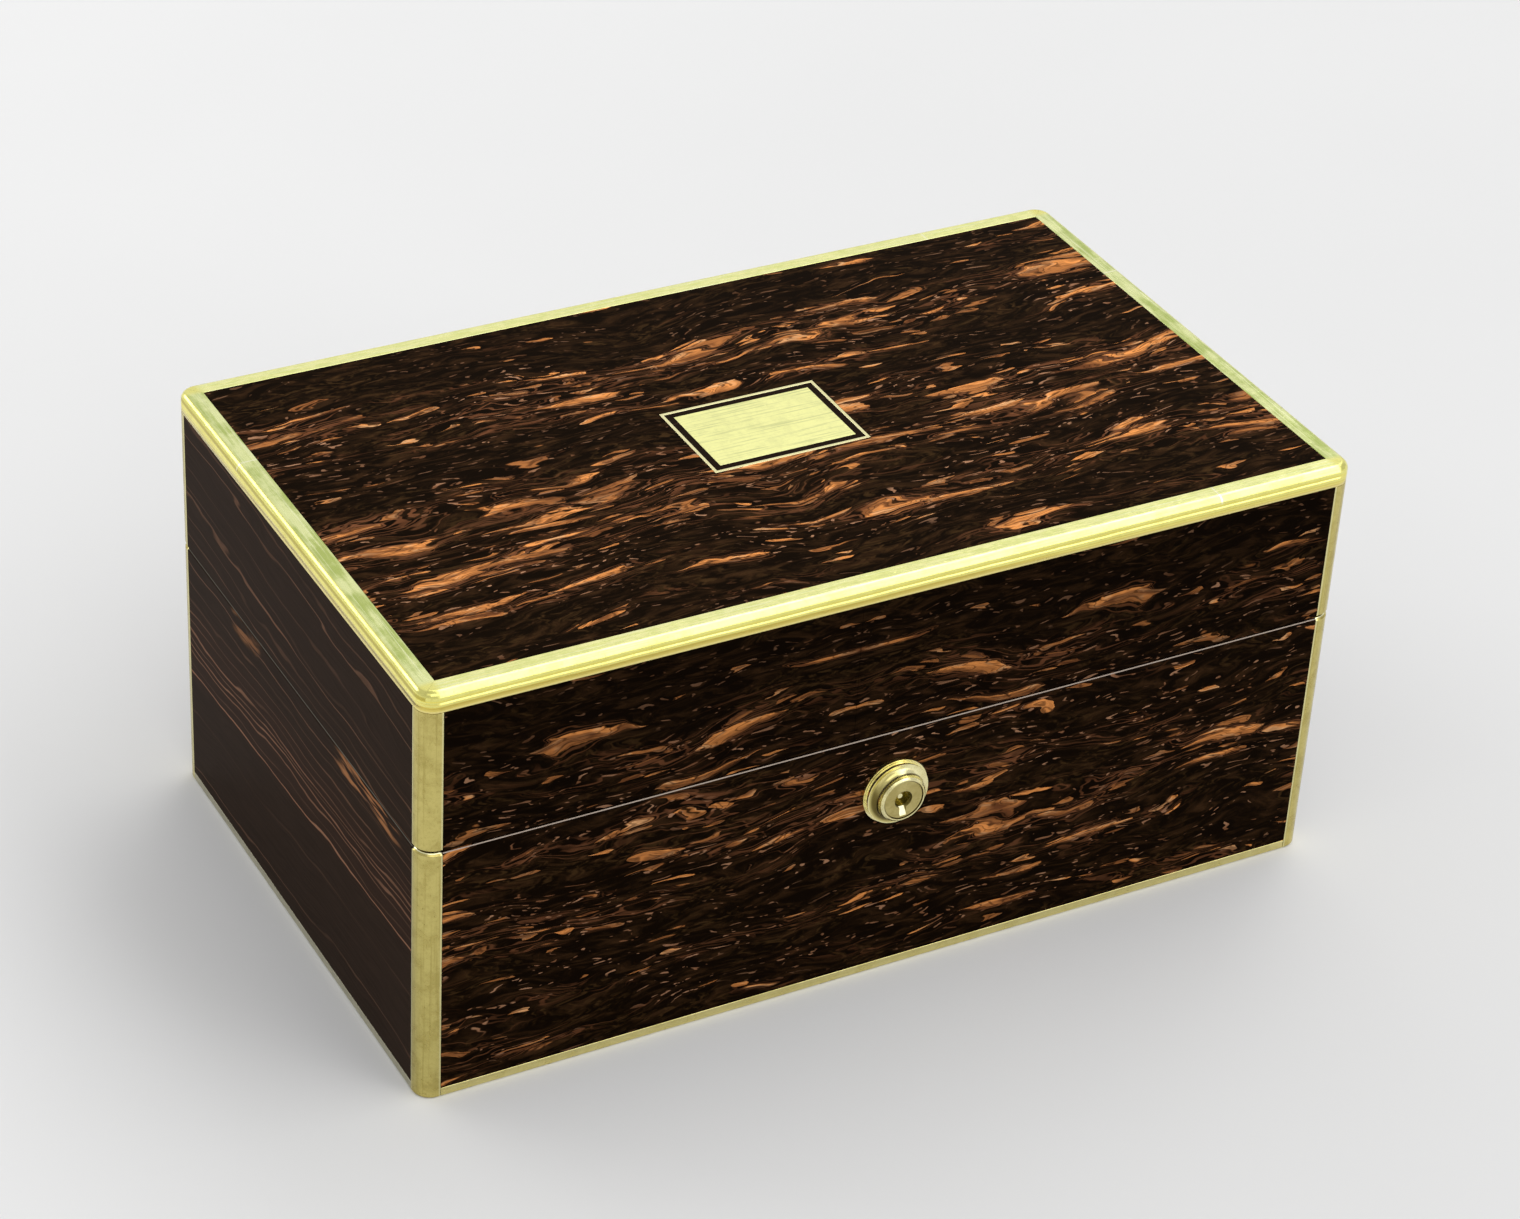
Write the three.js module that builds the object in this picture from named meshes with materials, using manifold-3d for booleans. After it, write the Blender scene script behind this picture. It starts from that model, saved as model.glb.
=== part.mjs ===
// Travelling jewelry box: a veneered case edged in brass, with a hinged lid, a barrel lock and a lift-out tray.
// Millimetres, +Z up, the front towards -Y. The origin is the middle of the case's underside.
import * as THREE from "three";
import { mergeVertices } from "three/addons/utils/BufferGeometryUtils.js";
import Module from "manifold-3d";

const wasm = await Module();
wasm.setup();

// Driving sizes of the case
const caseWidth = 305;
const caseDepth = 180.7;
const caseHeight = 140.6;
const seamHeight = 87.2;
const seamGap = 0.4;

// Thicknesses: veneer and brass make one skin over the carcass boards
const skin = 1.5;
const board = 9;
const lidBoard = 7;
const bottomBoard = 6;
const glueGap = 0.1;
const overrun = 1;

// Outer roundings
const cornerRadius = 5.6;
const arrisRadius = 3.2;
const footRadius = 0.8;
const rimBevel = 0.8;
const veneerBevel = 0.4;

// Brass edging: widths on the faces, and the foot strip, which is a solid bar
const stripFace = 6.5;
const edgeStripDrop = 6.35;
const footHeight = 3.2;
const clothThickness = 1.1;

// Inlay in the lid
const plateWidth = 45.8;
const plateDepth = 30.2;
const plateBand = 2.25;
const plateStringing = 1;
const frontJoinOffset = -16;

// Hinge: the barrel stands half out of the back, and the leaves' faces behind the pin are the stop
const lidOpening = 97;
const hingePinRadius = 0.9;
const hingePinClearance = 0.12;
const knuckleRadius = 2.2;
const knuckleGap = 0.3;
const knuckleCount = 15;
const cradleWall = 1.2;
const stopGap = 0.3;
const flapThickness = 1.4;
const flapWidth = 8.6;

// Lock: the nozzle outside the front, turned round the barrel's axis
const lockDrop = 20.7;
const lockOffset = -1.25;
const flangeRadius = 10.8;
const flangePlate = 1.2;
const flangeGroove = 0.45;
const flangeGrooveDepth = 0.5;
const flangeStepRadius = 10.2;
const flangeStep = 1.15;
const coveFootRadius = 9.5;
const noseRadius = 7.5;
const noseRim = 1.3;
const noseRound = 0.5;
const nozzleReach = 6.35;
const spigotRadius = 8;
const capRadius = 6.3;
const capGap = 0.25;
const capThickness = 1.2;
const capRecess = 0.25;
const keyholeRadius = 2.9;
const keyNotchWidth = 2.2;
const keyNotchReach = 5.5;

// Lock: barrel, and the drive pin that moves the bolt
const barrelRadius = 5.5;
const runningGap = 0.2;
const keyBoreRadius = 3;
const keyBoreDepth = 7.5;
const centrePinRadius = 0.85;
const centrePinSetback = 0.6;
const sliderSlots = 5;
const sliderSlotWidth = 0.7;
const sliderSlotReach = 4.2;
const barrelTurn = 90;
const boltThrow = 3.5;
const drivePinRadius = 0.9;

// Lock: case, bolt, and the links that hang from the lid
const lockPlateWidth = 70;
const lockPlateDepth = 7.6;
const lockPlateThickness = 1.5;
const lockCaseWidth = 57;
const lockCaseWall = 1;
const lockCaseFloor = 3;
const lockInset = 0.1;
const linkSpacing = 28;
const linkThickness = 2.4;
const linkWidth = 5;
const linkReach = 9.4;
const linkRound = 1.6;
const eyeWidth = 2.4;
const eyeHeight = 4;
const eyeSill = 2;
const eyeGap = 0.3;
const slotGap = 0.5;
const boltThickness = 1.8;
const boltClearance = 0.4;
const boltBarHeight = 5;
const boltBarDrop = 2;
const hookArmWidth = 4.5;
const prongWidth = 3.2;

// Liner with its lip, floor pad and tray rests
const linerThickness = 2.5;
const lipHeight = 3;
const lipSetback = 0.5;
const lipRound = 0.8;
const floorPadThickness = 2.6;
const floorPadRound = 1.2;
const floorPadGap = 0.4;
const restWidth = 5;
const restHeight = 6;

// Tray
const trayGap = 0.6;
const trayDrop = 3;
const trayHeight = 28;
const trayWall = 3.5;
const trayFloor = 2.5;
const trayCorner = 2;
const dividerThickness = 3;
const dividerDrop = 2;
const ringBayWidth = 108;
const ringRollCount = 6;
const ringPadBase = 3;
const ringRollHeight = 17;
const softGap = 0.4;
const ribbonWidth = 12;
const ribbonThickness = 1.4;
const ribbonHang = 16;
const ribbonDrop = 1;
const crossBayShare = 0.48;

// Padded panel in the lid
const lidPadThickness = 9;
const lidPadGap = 1.2;
const lidPadCorner = 8;
const lidPadRound = 6;
const seatGap = 0.3;

// How finely round shapes are cut
const cornerSteps = 6;
const arrisSteps = 5;
const barrelSides = 40;
const knuckleSides = 20;
const pinSides = 12;
const coveSteps = 6;
const mergeTolerance = 1e-4;

// Places worked out from the driving sizes
const halfWidth = caseWidth / 2;
const halfDepth = caseDepth / 2;
const baseTop = seamHeight - seamGap / 2;
const lidBottom = seamHeight + seamGap / 2;
const wall = skin + board;
const innerHalfWidth = halfWidth - wall;
const innerHalfDepth = halfDepth - wall;
const boardBottom = clothThickness + glueGap;
const floorTop = boardBottom + bottomBoard;
const ceiling = caseHeight - skin - glueGap - lidBoard;
const edgeStripBottom = caseHeight - edgeStripDrop;
const panelHalfWidth = halfWidth - stripFace - glueGap;
const panelHalfDepth = halfDepth - stripFace - glueGap;
const lockZ = seamHeight - lockDrop;
const reach = caseWidth;

// A closed mesh as a solid. A profile drawn the other way round gives faces that point in, so they are turned.
function solidOf(geometry) {
  const bare = geometry.clone();
  bare.deleteAttribute("normal");
  bare.deleteAttribute("uv");
  const merged = mergeVertices(bare, mergeTolerance);
  const vertProperties = merged.attributes.position.array;
  const kept = [];
  for (let corner = 0; corner < merged.index.count; corner += 3) {
    const [a, b, c] = merged.index.array.slice(corner, corner + 3);
    if (a !== b && b !== c && c !== a) kept.push(a, b, c);
  }
  const triVerts = new Uint32Array(kept);
  const made = new wasm.Manifold(new wasm.Mesh({ numProp: 3, vertProperties, triVerts }));
  if (made.volume() > 0) return made;
  triVerts.reverse();
  return new wasm.Manifold(new wasm.Mesh({ numProp: 3, vertProperties, triVerts }));
}

function geometryOf(solid) {
  const { vertProperties, triVerts } = solid.getMesh();
  const geometry = new THREE.BufferGeometry();
  geometry.setAttribute("position", new THREE.BufferAttribute(vertProperties, 3));
  geometry.setIndex(new THREE.BufferAttribute(triVerts, 1));
  geometry.computeVertexNormals();
  return geometry;
}

function block([x0, x1], [y0, y1], [z0, z1]) {
  const geometry = new THREE.BoxGeometry(x1 - x0, y1 - y0, z1 - z0);
  geometry.translate((x0 + x1) / 2, (y0 + y1) / 2, (z0 + z1) / 2);
  return solidOf(geometry);
}

// The middle block that is the same distance either side of the case's centre lines
function middleBlock(halfX, halfY, heights) {
  return block([-halfX, halfX], [-halfY, halfY], heights);
}

function outline(points) {
  return new THREE.Shape(points.map(([u, v]) => new THREE.Vector2(u, v)));
}

// Extrusions along each axis: the outline is drawn in (Y, Z) for X, in (X, Z) for Y and in (X, Y) for Z
const ALONG = {
  x: new THREE.Matrix4().makeBasis(
    new THREE.Vector3(0, 1, 0),
    new THREE.Vector3(0, 0, 1),
    new THREE.Vector3(1, 0, 0),
  ),
  y: new THREE.Matrix4().makeBasis(
    new THREE.Vector3(1, 0, 0),
    new THREE.Vector3(0, 0, 1),
    new THREE.Vector3(0, -1, 0),
  ),
  z: new THREE.Matrix4(),
};

function prism(shape, axis, [from, to], curveSegments = knuckleSides) {
  const geometry = new THREE.ExtrudeGeometry(shape, {
    depth: to - from,
    bevelEnabled: false,
    curveSegments,
  });
  geometry.applyMatrix4(ALONG[axis]);
  if (axis === "x") geometry.translate(from, 0, 0);
  if (axis === "y") geometry.translate(0, to, 0);
  if (axis === "z") geometry.translate(0, 0, from);
  return solidOf(geometry);
}

function rod(axis, radius, [u, v], span, sides = knuckleSides) {
  const shape = new THREE.Shape();
  shape.absarc(u, v, radius, 0, 2 * Math.PI, false);
  return prism(shape, axis, span, sides);
}

// A solid turned about the lock's axis, from [radius, reach in front of the case] points
function turned(profile) {
  const points = profile.map(([radius, out]) => new THREE.Vector2(radius, -halfDepth - out));
  const geometry = new THREE.LatheGeometry(points, barrelSides);
  geometry.translate(0, 0, lockZ);
  return solidOf(geometry);
}

// A block with rounded vertical corners, lofted through levels of [height, inset]
function roundedBlock(halfX, halfY, corner, levels) {
  const perCorner = cornerSteps + 1;
  const perRing = 4 * perCorner;
  const positions = [];
  for (const [z, inset] of levels) {
    const radius = corner - inset;
    for (let quarter = 0; quarter < 4; quarter++) {
      const sideX = quarter === 0 || quarter === 3 ? 1 : -1;
      const sideY = quarter < 2 ? 1 : -1;
      for (let step = 0; step < perCorner; step++) {
        const angle = ((quarter + step / cornerSteps) * Math.PI) / 2;
        const x = sideX * (halfX - corner) + radius * Math.cos(angle);
        const y = sideY * (halfY - corner) + radius * Math.sin(angle);
        positions.push(x, y, z);
      }
    }
  }
  const lowCentre = levels.length * perRing;
  const highCentre = lowCentre + 1;
  positions.push(0, 0, levels[0][0]);
  positions.push(0, 0, levels[levels.length - 1][0]);
  const faces = [];
  for (let point = 0; point < perRing; point++) {
    const next = (point + 1) % perRing;
    for (let level = 0; level + 1 < levels.length; level++) {
      const low = level * perRing;
      const high = low + perRing;
      faces.push(low + point, low + next, high + next);
      faces.push(low + point, high + next, high + point);
    }
    const top = (levels.length - 1) * perRing;
    faces.push(lowCentre, next, point);
    faces.push(highCentre, top + point, top + next);
  }
  const geometry = new THREE.BufferGeometry();
  geometry.setAttribute("position", new THREE.Float32BufferAttribute(positions, 3));
  geometry.setIndex(faces);
  return solidOf(geometry);
}

// Levels of a quarter-round edge: up to the top of a block, or up from its foot
function topRound(z, radius) {
  const levels = [];
  for (let step = 0; step <= arrisSteps; step++) {
    const angle = ((step / arrisSteps) * Math.PI) / 2;
    levels.push([z - radius + radius * Math.sin(angle), radius - radius * Math.cos(angle)]);
  }
  return levels;
}

function footRound(z, radius) {
  return topRound(0, radius)
    .map(([height, inset]) => [z - height, inset])
    .reverse();
}

// The outside of the base and of the lid, and the faces that their skin is glued to
const baseOutside = roundedBlock(halfWidth, halfDepth, cornerRadius, [
  ...footRound(0, footRadius),
  [baseTop - rimBevel, 0],
  [baseTop, rimBevel],
]);
const lidOutside = roundedBlock(halfWidth, halfDepth, cornerRadius, [
  [lidBottom, rimBevel],
  [lidBottom + rimBevel, 0],
  ...topRound(caseHeight, arrisRadius),
]);

function baseCarcass(depth, from) {
  return roundedBlock(halfWidth - depth, halfDepth - depth, cornerRadius - depth, [
    [from, 0],
    [baseTop, 0],
  ]);
}

function lidCarcass(depth) {
  return roundedBlock(halfWidth - depth, halfDepth - depth, cornerRadius - depth, [
    [lidBottom, 0],
    ...topRound(caseHeight - depth, arrisRadius - depth),
  ]);
}

// Everything of the case at one side: front, back, left or right, within a distance of that face
function sideSlab(side, depth, endInset) {
  const far = reach;
  const x = [-halfWidth + endInset, halfWidth - endInset];
  const y = [-halfDepth + endInset, halfDepth - endInset];
  if (side === "front") return block(x, [-halfDepth - overrun, -halfDepth + depth], [-far, far]);
  if (side === "back") return block(x, [halfDepth - depth, halfDepth + overrun], [-far, far]);
  if (side === "left") return block([-halfWidth - overrun, -halfWidth + depth], y, [-far, far]);
  return block([halfWidth - depth, halfWidth + overrun], y, [-far, far]);
}

function ascending(a, b) {
  return a - b;
}

function cornerColumn([sideX, sideY], heights) {
  const x = [sideX * (halfWidth - stripFace), sideX * (halfWidth + overrun)];
  const y = [sideY * (halfDepth - stripFace), sideY * (halfDepth + overrun)];
  return block(x.sort(ascending), y.sort(ascending), heights);
}

// A flat veneer leaf on one side, with its bevelled edge at the seam
function sideVeneer(side, [z0, z1], seamEdge, [from, to]) {
  const sign = side === "front" || side === "left" ? -1 : 1;
  const along = side === "front" || side === "back" ? "x" : "y";
  const outer = sign * (along === "x" ? halfDepth : halfWidth);
  const inner = outer - sign * skin;
  const bevelled = outer - sign * veneerBevel;
  const points =
    seamEdge === "top"
      ? [[inner, z0], [outer, z0], [outer, z1 - veneerBevel], [bevelled, z1], [inner, z1]]
      : [[inner, z0], [bevelled, z0], [outer, z0 + veneerBevel], [outer, z1], [inner, z1]];
  return prism(outline(points), along, [from, to]);
}

const SIDES = ["front", "back", "left", "right"];
const CORNERS = {
  front_left: [-1, -1],
  front_right: [1, -1],
  back_left: [-1, 1],
  back_right: [1, 1],
};

// Hinge: its axis lies in the back face, at the middle of the seam
const hingeHalfLength = panelHalfWidth;
const hingeAxis = [halfDepth, seamHeight];
const cradleInner = knuckleRadius + knuckleGap;
const cradleRadius = cradleInner + cradleWall;
const knucklePitch = (2 * hingeHalfLength) / knuckleCount;

// One leaf: a flap let into the rim, a cradle round half the barrel that ends in the stop face, and its knuckles
function hingeLeaf(side, firstKnuckle) {
  const [axisY, axisZ] = hingeAxis;
  const halfGap = seamGap / 2;
  const stop = ((lidOpening / 2) * Math.PI) / 180;
  const start = Math.PI + Math.asin(halfGap / cradleRadius);
  const end = 2 * Math.PI - stop - Math.asin(stopGap / 2 / cradleRadius);
  const kneeY = (halfGap * Math.cos(stop) - stopGap / 2) / Math.sin(stop);
  const cradle = [[kneeY, -halfGap]];
  for (let step = 0; step <= knuckleSides; step++) {
    const angle = start + ((end - start) * step) / knuckleSides;
    cradle.push([cradleRadius * Math.cos(angle), cradleRadius * Math.sin(angle)]);
  }
  const placed = cradle.map(([y, z]) => [axisY + y, axisZ - side * z]);
  const length = [-hingeHalfLength, hingeHalfLength];
  const faceZ = axisZ + side * halfGap;
  const flapZ = [faceZ, faceZ + side * flapThickness].sort(ascending);
  const flap = block(length, [axisY - flapWidth, axisY - cradleInner], flapZ);
  let leaf = prism(outline(placed), "x", length).add(flap);
  for (let knuckle = 0; knuckle < knuckleCount; knuckle++) {
    if (knuckle % 2 === firstKnuckle) continue;
    const from = -hingeHalfLength + knuckle * knucklePitch - knuckleGap / 2;
    const span = [from, from + knucklePitch + knuckleGap];
    leaf = leaf.subtract(rod("x", cradleInner, hingeAxis, span));
  }
  for (let knuckle = firstKnuckle; knuckle < knuckleCount; knuckle += 2) {
    const from = -hingeHalfLength + knuckle * knucklePitch + (knuckle ? knuckleGap / 2 : 0);
    const last = knuckle === knuckleCount - 1;
    const to = -hingeHalfLength + (knuckle + 1) * knucklePitch - (last ? 0 : knuckleGap / 2);
    leaf = leaf.add(rod("x", knuckleRadius, hingeAxis, [from, to]));
  }
  const bore = [-hingeHalfLength - overrun, hingeHalfLength + overrun];
  return leaf.subtract(rod("x", hingePinRadius + hingePinClearance, hingeAxis, bore, pinSides));
}

// What the boards and veneers give up to the hinge, cove and flap recess together
function hingeRecess(side) {
  const [axisY, axisZ] = hingeAxis;
  const length = [-hingeHalfLength - glueGap, hingeHalfLength + glueGap];
  const faceZ = axisZ - side * overrun;
  const deepZ = axisZ + side * (seamGap / 2 + flapThickness + glueGap);
  const flapY = [axisY - flapWidth - glueGap, axisY + overrun];
  const cove = rod("x", cradleRadius + glueGap, hingeAxis, length, 2 * knuckleSides);
  return cove.add(block(length, flapY, [faceZ, deepZ].sort(ascending)));
}

// The lock's pieces and pockets are drawn about the case's middle, then moved to the lock's place along the front
function atLock(solid) {
  return solid.translate(lockOffset, 0, 0);
}

// Lock places, from the case's outer face inwards
const lockBack = -innerHalfDepth - lockInset;
const lockFront = lockBack - lockPlateDepth;
const linkMiddle = (lockFront + lockBack) / 2;
const linkBottom = lidBottom - linkReach;
const sillTop = linkBottom + eyeSill;
const boltFront = linkMiddle - boltThickness / 2;
const boltBack = linkMiddle + boltThickness / 2;
const barTop = linkBottom - boltBarDrop;
const barBottom = barTop - boltBarHeight;
const driveRadius = boltThrow / 2 / Math.sin(((barrelTurn / 2) * Math.PI) / 180);
const driveX = -boltThrow / 2;
const driveZ = lockZ + driveRadius * Math.cos(((barrelTurn / 2) * Math.PI) / 180);
const driveSlotTop = lockZ + driveRadius + drivePinRadius + boltClearance;
const prongBottom = lockZ - drivePinRadius;
const caseBottom = lockZ - barrelRadius - lockCaseFloor;
const barrelBackOut = -halfDepth - boltFront + boltClearance;
const capBackOut = nozzleReach - capRecess - capThickness;
const barrelFrontOut = capBackOut - runningGap;
const linkPlaces = [-linkSpacing / 2, linkSpacing / 2];
const fingerLength = boltThrow + boltClearance;

function lockNozzle() {
  const spigotOut = -halfDepth - lockFront + glueGap;
  const stepOut = flangePlate + flangeGroove + flangeStep;
  const noseOut = nozzleReach - noseRim;
  const cove = [];
  for (let step = 0; step <= coveSteps; step++) {
    const angle = ((step / coveSteps) * Math.PI) / 2;
    const radius = noseRadius + (coveFootRadius - noseRadius) * (1 - Math.sin(angle));
    cove.push([radius, noseOut - (noseOut - stepOut) * Math.cos(angle)]);
  }
  const boreRadius = barrelRadius + runningGap;
  return turned([
    [boreRadius, spigotOut],
    [spigotRadius, spigotOut],
    [spigotRadius, 0],
    [flangeRadius, 0],
    [flangeRadius, flangePlate],
    [flangeRadius - flangeGrooveDepth, flangePlate],
    [flangeRadius - flangeGrooveDepth, flangePlate + flangeGroove],
    [flangeStepRadius, flangePlate + flangeGroove],
    [flangeStepRadius, stepOut],
    ...cove,
    [noseRadius, nozzleReach - noseRound],
    [noseRadius - noseRound, nozzleReach],
    [capRadius + capGap, nozzleReach],
    [capRadius + capGap, capBackOut],
    [boreRadius, capBackOut],
    [boreRadius, spigotOut],
  ]);
}

function lockCap() {
  const shape = new THREE.Shape();
  shape.absarc(0, lockZ, capRadius, 0, 2 * Math.PI, false);
  const half = keyNotchWidth / 2;
  const side = Math.asin(half / keyholeRadius);
  const hole = new THREE.Path();
  hole.moveTo(half, lockZ - keyNotchReach);
  hole.lineTo(half, lockZ - keyholeRadius * Math.cos(side));
  hole.absarc(0, lockZ, keyholeRadius, side - Math.PI / 2, (3 * Math.PI) / 2 - side, false);
  hole.lineTo(-half, lockZ - keyNotchReach);
  hole.closePath();
  shape.holes.push(hole);
  const front = -halfDepth - nozzleReach + capRecess;
  return prism(shape, "y", [front, front + capThickness], barrelSides);
}

// The barrel's bore holds the centre pin that the pipe key slides over, and slots for the locking slides
function lockBarrel() {
  const boreOut = barrelFrontOut - keyBoreDepth;
  let barrel = turned([
    [0, barrelFrontOut - centrePinSetback],
    [centrePinRadius, barrelFrontOut - centrePinSetback],
    [centrePinRadius, boreOut],
    [keyBoreRadius, boreOut],
    [keyBoreRadius, barrelFrontOut],
    [barrelRadius, barrelFrontOut],
    [barrelRadius, barrelBackOut],
    [0, barrelBackOut],
  ]);
  const slotSpan = [-halfDepth - barrelFrontOut - overrun, -halfDepth - boreOut];
  for (let slot = 0; slot < sliderSlots; slot++) {
    const angle = ((slot + 1) * 2 * Math.PI) / (sliderSlots + 1) - Math.PI / 2;
    const along = [Math.cos(angle), Math.sin(angle)];
    const corners = [[centrePinRadius, 1], [sliderSlotReach, 1], [sliderSlotReach, -1], [centrePinRadius, -1]];
    const points = corners.map(([out, side]) => {
      const across = (side * sliderSlotWidth) / 2;
      return [out * along[0] - across * along[1], lockZ + out * along[1] + across * along[0]];
    });
    const centre = rod("y", centrePinRadius + runningGap, [0, lockZ], slotSpan, pinSides);
    barrel = barrel.subtract(prism(outline(points), "y", slotSpan).subtract(centre));
  }
  const pinSpan = [-halfDepth - barrelBackOut - overrun, boltBack];
  return barrel.add(rod("y", drivePinRadius, [driveX, driveZ], pinSpan, pinSides));
}

// The case is let into the front board from above, under its slotted plate, with a channel that guides the bolt
function lockCase() {
  const halfPlate = lockPlateWidth / 2;
  const halfCase = lockCaseWidth / 2;
  const plateZ = [baseTop - lockPlateThickness, baseTop];
  const innerX = [-halfCase + lockCaseWall, halfCase - lockCaseWall];
  const wideY = [lockFront + lockCaseWall, lockBack - lockCaseWall];
  const boltY = [boltFront - eyeGap, boltBack + eyeGap];
  const channelTop = barTop + boltClearance;
  let lockBody = block([-halfPlate, halfPlate], [lockFront, lockBack], plateZ);
  lockBody = lockBody.add(block([-halfCase, halfCase], [lockFront, lockBack], [caseBottom, baseTop]));
  lockBody = lockBody.subtract(block(innerX, wideY, [channelTop, baseTop - lockPlateThickness]));
  lockBody = lockBody.subtract(block(innerX, boltY, [barBottom - boltClearance, channelTop]));
  const prongX = [driveX - 2 * prongWidth, -driveX + 2 * prongWidth];
  const prongZ = [prongBottom - boltClearance, barBottom];
  lockBody = lockBody.subtract(block(prongX, boltY, prongZ));
  for (const place of linkPlaces) {
    const slotX = [place - linkThickness / 2 - slotGap, place + linkThickness / 2 + slotGap];
    lockBody = lockBody.subtract(block(slotX, wideY, [channelTop, baseTop + overrun]));
  }
  const boreSpan = [lockFront - overrun, boltFront];
  return lockBody.subtract(rod("y", barrelRadius + runningGap, [0, lockZ], boreSpan, barrelSides));
}

// The bolt: a bar with two hooks that enter the links' eyes, and a fork astride the barrel's drive pin
function lockBolt() {
  const fingerZ = [sillTop + boltClearance, sillTop + eyeHeight - boltClearance];
  const tips = linkPlaces.map((place) => place - linkThickness / 2 - boltClearance);
  const roots = tips.map((tip) => tip - fingerLength);
  const barX = [roots[0] - hookArmWidth, roots[1]];
  const y = [boltFront, boltBack];
  let bolt = block(barX, y, [barBottom, barTop]);
  roots.forEach((root, hook) => {
    bolt = bolt.add(block([root - hookArmWidth, root], y, [barBottom, fingerZ[1]]));
    bolt = bolt.add(block([root - hookArmWidth, tips[hook]], y, fingerZ));
  });
  const slotHalf = drivePinRadius + boltClearance;
  const forkX = [driveX - slotHalf - prongWidth, driveX + slotHalf + prongWidth];
  bolt = bolt.add(block(forkX, y, [prongBottom, barTop]));
  const slotZ = [prongBottom - overrun, driveSlotTop];
  const slotY = [boltFront - overrun, boltBack + overrun];
  return bolt.subtract(block([driveX - slotHalf, driveX + slotHalf], slotY, slotZ));
}

function lockPocket() {
  const halfPlate = lockPlateWidth / 2 + glueGap;
  const halfCase = lockCaseWidth / 2 + glueGap;
  const y = [lockFront - glueGap, lockBack + overrun];
  const plateZ = [baseTop - lockPlateThickness - glueGap, baseTop + overrun];
  const pocket = block([-halfPlate, halfPlate], y, plateZ);
  return pocket.add(block([-halfCase, halfCase], y, [caseBottom - glueGap, baseTop + overrun]));
}

function spigotHole() {
  const span = [-halfDepth - overrun, lockFront];
  return rod("y", spigotRadius + glueGap, [0, lockZ], span, barrelSides);
}

// The lid's hook plate, with the two links that drop through the lock plate's slots
function hookPlate() {
  const halfPlate = lockPlateWidth / 2;
  const plateZ = [lidBottom, lidBottom + lockPlateThickness];
  let plate = block([-halfPlate, halfPlate], [lockFront, lockBack], plateZ);
  const front = linkMiddle - linkWidth / 2;
  const back = linkMiddle + linkWidth / 2;
  for (const place of linkPlaces) {
    const shape = new THREE.Shape();
    shape.moveTo(front, plateZ[1]);
    shape.lineTo(front, linkBottom + linkRound);
    shape.absarc(front + linkRound, linkBottom + linkRound, linkRound, Math.PI, (3 * Math.PI) / 2, false);
    shape.absarc(back - linkRound, linkBottom + linkRound, linkRound, -Math.PI / 2, 0, false);
    shape.lineTo(back, plateZ[1]);
    shape.closePath();
    const eye = [
      [linkMiddle - eyeWidth / 2, sillTop],
      [linkMiddle + eyeWidth / 2, sillTop],
      [linkMiddle + eyeWidth / 2, sillTop + eyeHeight],
      [linkMiddle - eyeWidth / 2, sillTop + eyeHeight],
    ];
    shape.holes.push(outline(eye));
    const span = [place - linkThickness / 2, place + linkThickness / 2];
    plate = plate.add(prism(shape, "x", span, cornerSteps));
  }
  return plate;
}

function hookPocket() {
  const halfPlate = lockPlateWidth / 2 + glueGap;
  const z = [lidBottom - overrun, lidBottom + lockPlateThickness + glueGap];
  return block([-halfPlate, halfPlate], [lockFront - glueGap, lockBack + overrun], z);
}

// Materials
function finish(colour, roughness, metalness) {
  return new THREE.MeshStandardMaterial({ color: colour, roughness, metalness });
}

const FINISHES = {
  brass: () => finish(0xb89b4e, 0.35, 1),
  veneer: () => finish(0x2a1a12, 0.15, 0),
  carcass: () => finish(0x5e3a22, 0.6, 0),
  liner: () => finish(0x3a1f14, 0.35, 0),
  ebony: () => finish(0x120f0d, 0.2, 0),
  steel: () => finish(0x8a8c90, 0.4, 1),
  velvet: () => finish(0x3c1226, 0.95, 0),
  cloth: () => finish(0x1f2b22, 0.95, 0),
  ribbon: () => finish(0x6d2a3e, 0.6, 0),
};

const jewelryBox = new THREE.Group();
const base = new THREE.Group();
const lid = new THREE.Group();
const tray = new THREE.Group();
jewelryBox.add(base, lid, tray);

function add(group, name, solid, material) {
  const mesh = new THREE.Mesh(geometryOf(solid), FINISHES[material]());
  mesh.name = name;
  group.add(mesh);
}

// Base: carcass boards, rebated at the foot for the brass bars
const footRebate = middleBlock(halfWidth, halfDepth, [-overrun, footHeight + glueGap]).subtract(
  middleBlock(panelHalfWidth, panelHalfDepth, [-reach, reach]),
);
const baseBlank = baseCarcass(skin + glueGap, boardBottom).subtract(footRebate);
for (const side of SIDES) {
  const across = side === "front" || side === "back";
  const slab = sideSlab(side, wall, across ? 0 : wall + glueGap);
  let sideBoard = baseBlank.intersect(slab);
  if (side === "front") sideBoard = sideBoard.subtract(atLock(lockPocket())).subtract(atLock(spigotHole()));
  if (side === "back") sideBoard = sideBoard.subtract(hingeRecess(-1));
  add(base, `base_${side}_board`, sideBoard, "carcass");
}
const floorHalf = [innerHalfWidth - glueGap, innerHalfDepth - glueGap];
add(base, "base_bottom_board", middleBlock(...floorHalf, [boardBottom, floorTop]), "carcass");
add(base, "base_cloth", middleBlock(panelHalfWidth, panelHalfDepth, [0, clothThickness]), "cloth");

// Base: veneers between the brass strips
const baseVeneerZ = [footHeight + glueGap, baseTop];
for (const side of SIDES) {
  const half = side === "front" || side === "back" ? panelHalfWidth : panelHalfDepth;
  let veneer = sideVeneer(side, baseVeneerZ, "top", [-half, half]);
  if (side === "front") veneer = veneer.subtract(atLock(spigotHole()));
  if (side === "back") veneer = veneer.subtract(hingeRecess(-1));
  add(base, `base_${side}_veneer`, veneer, "veneer");
}

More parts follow.
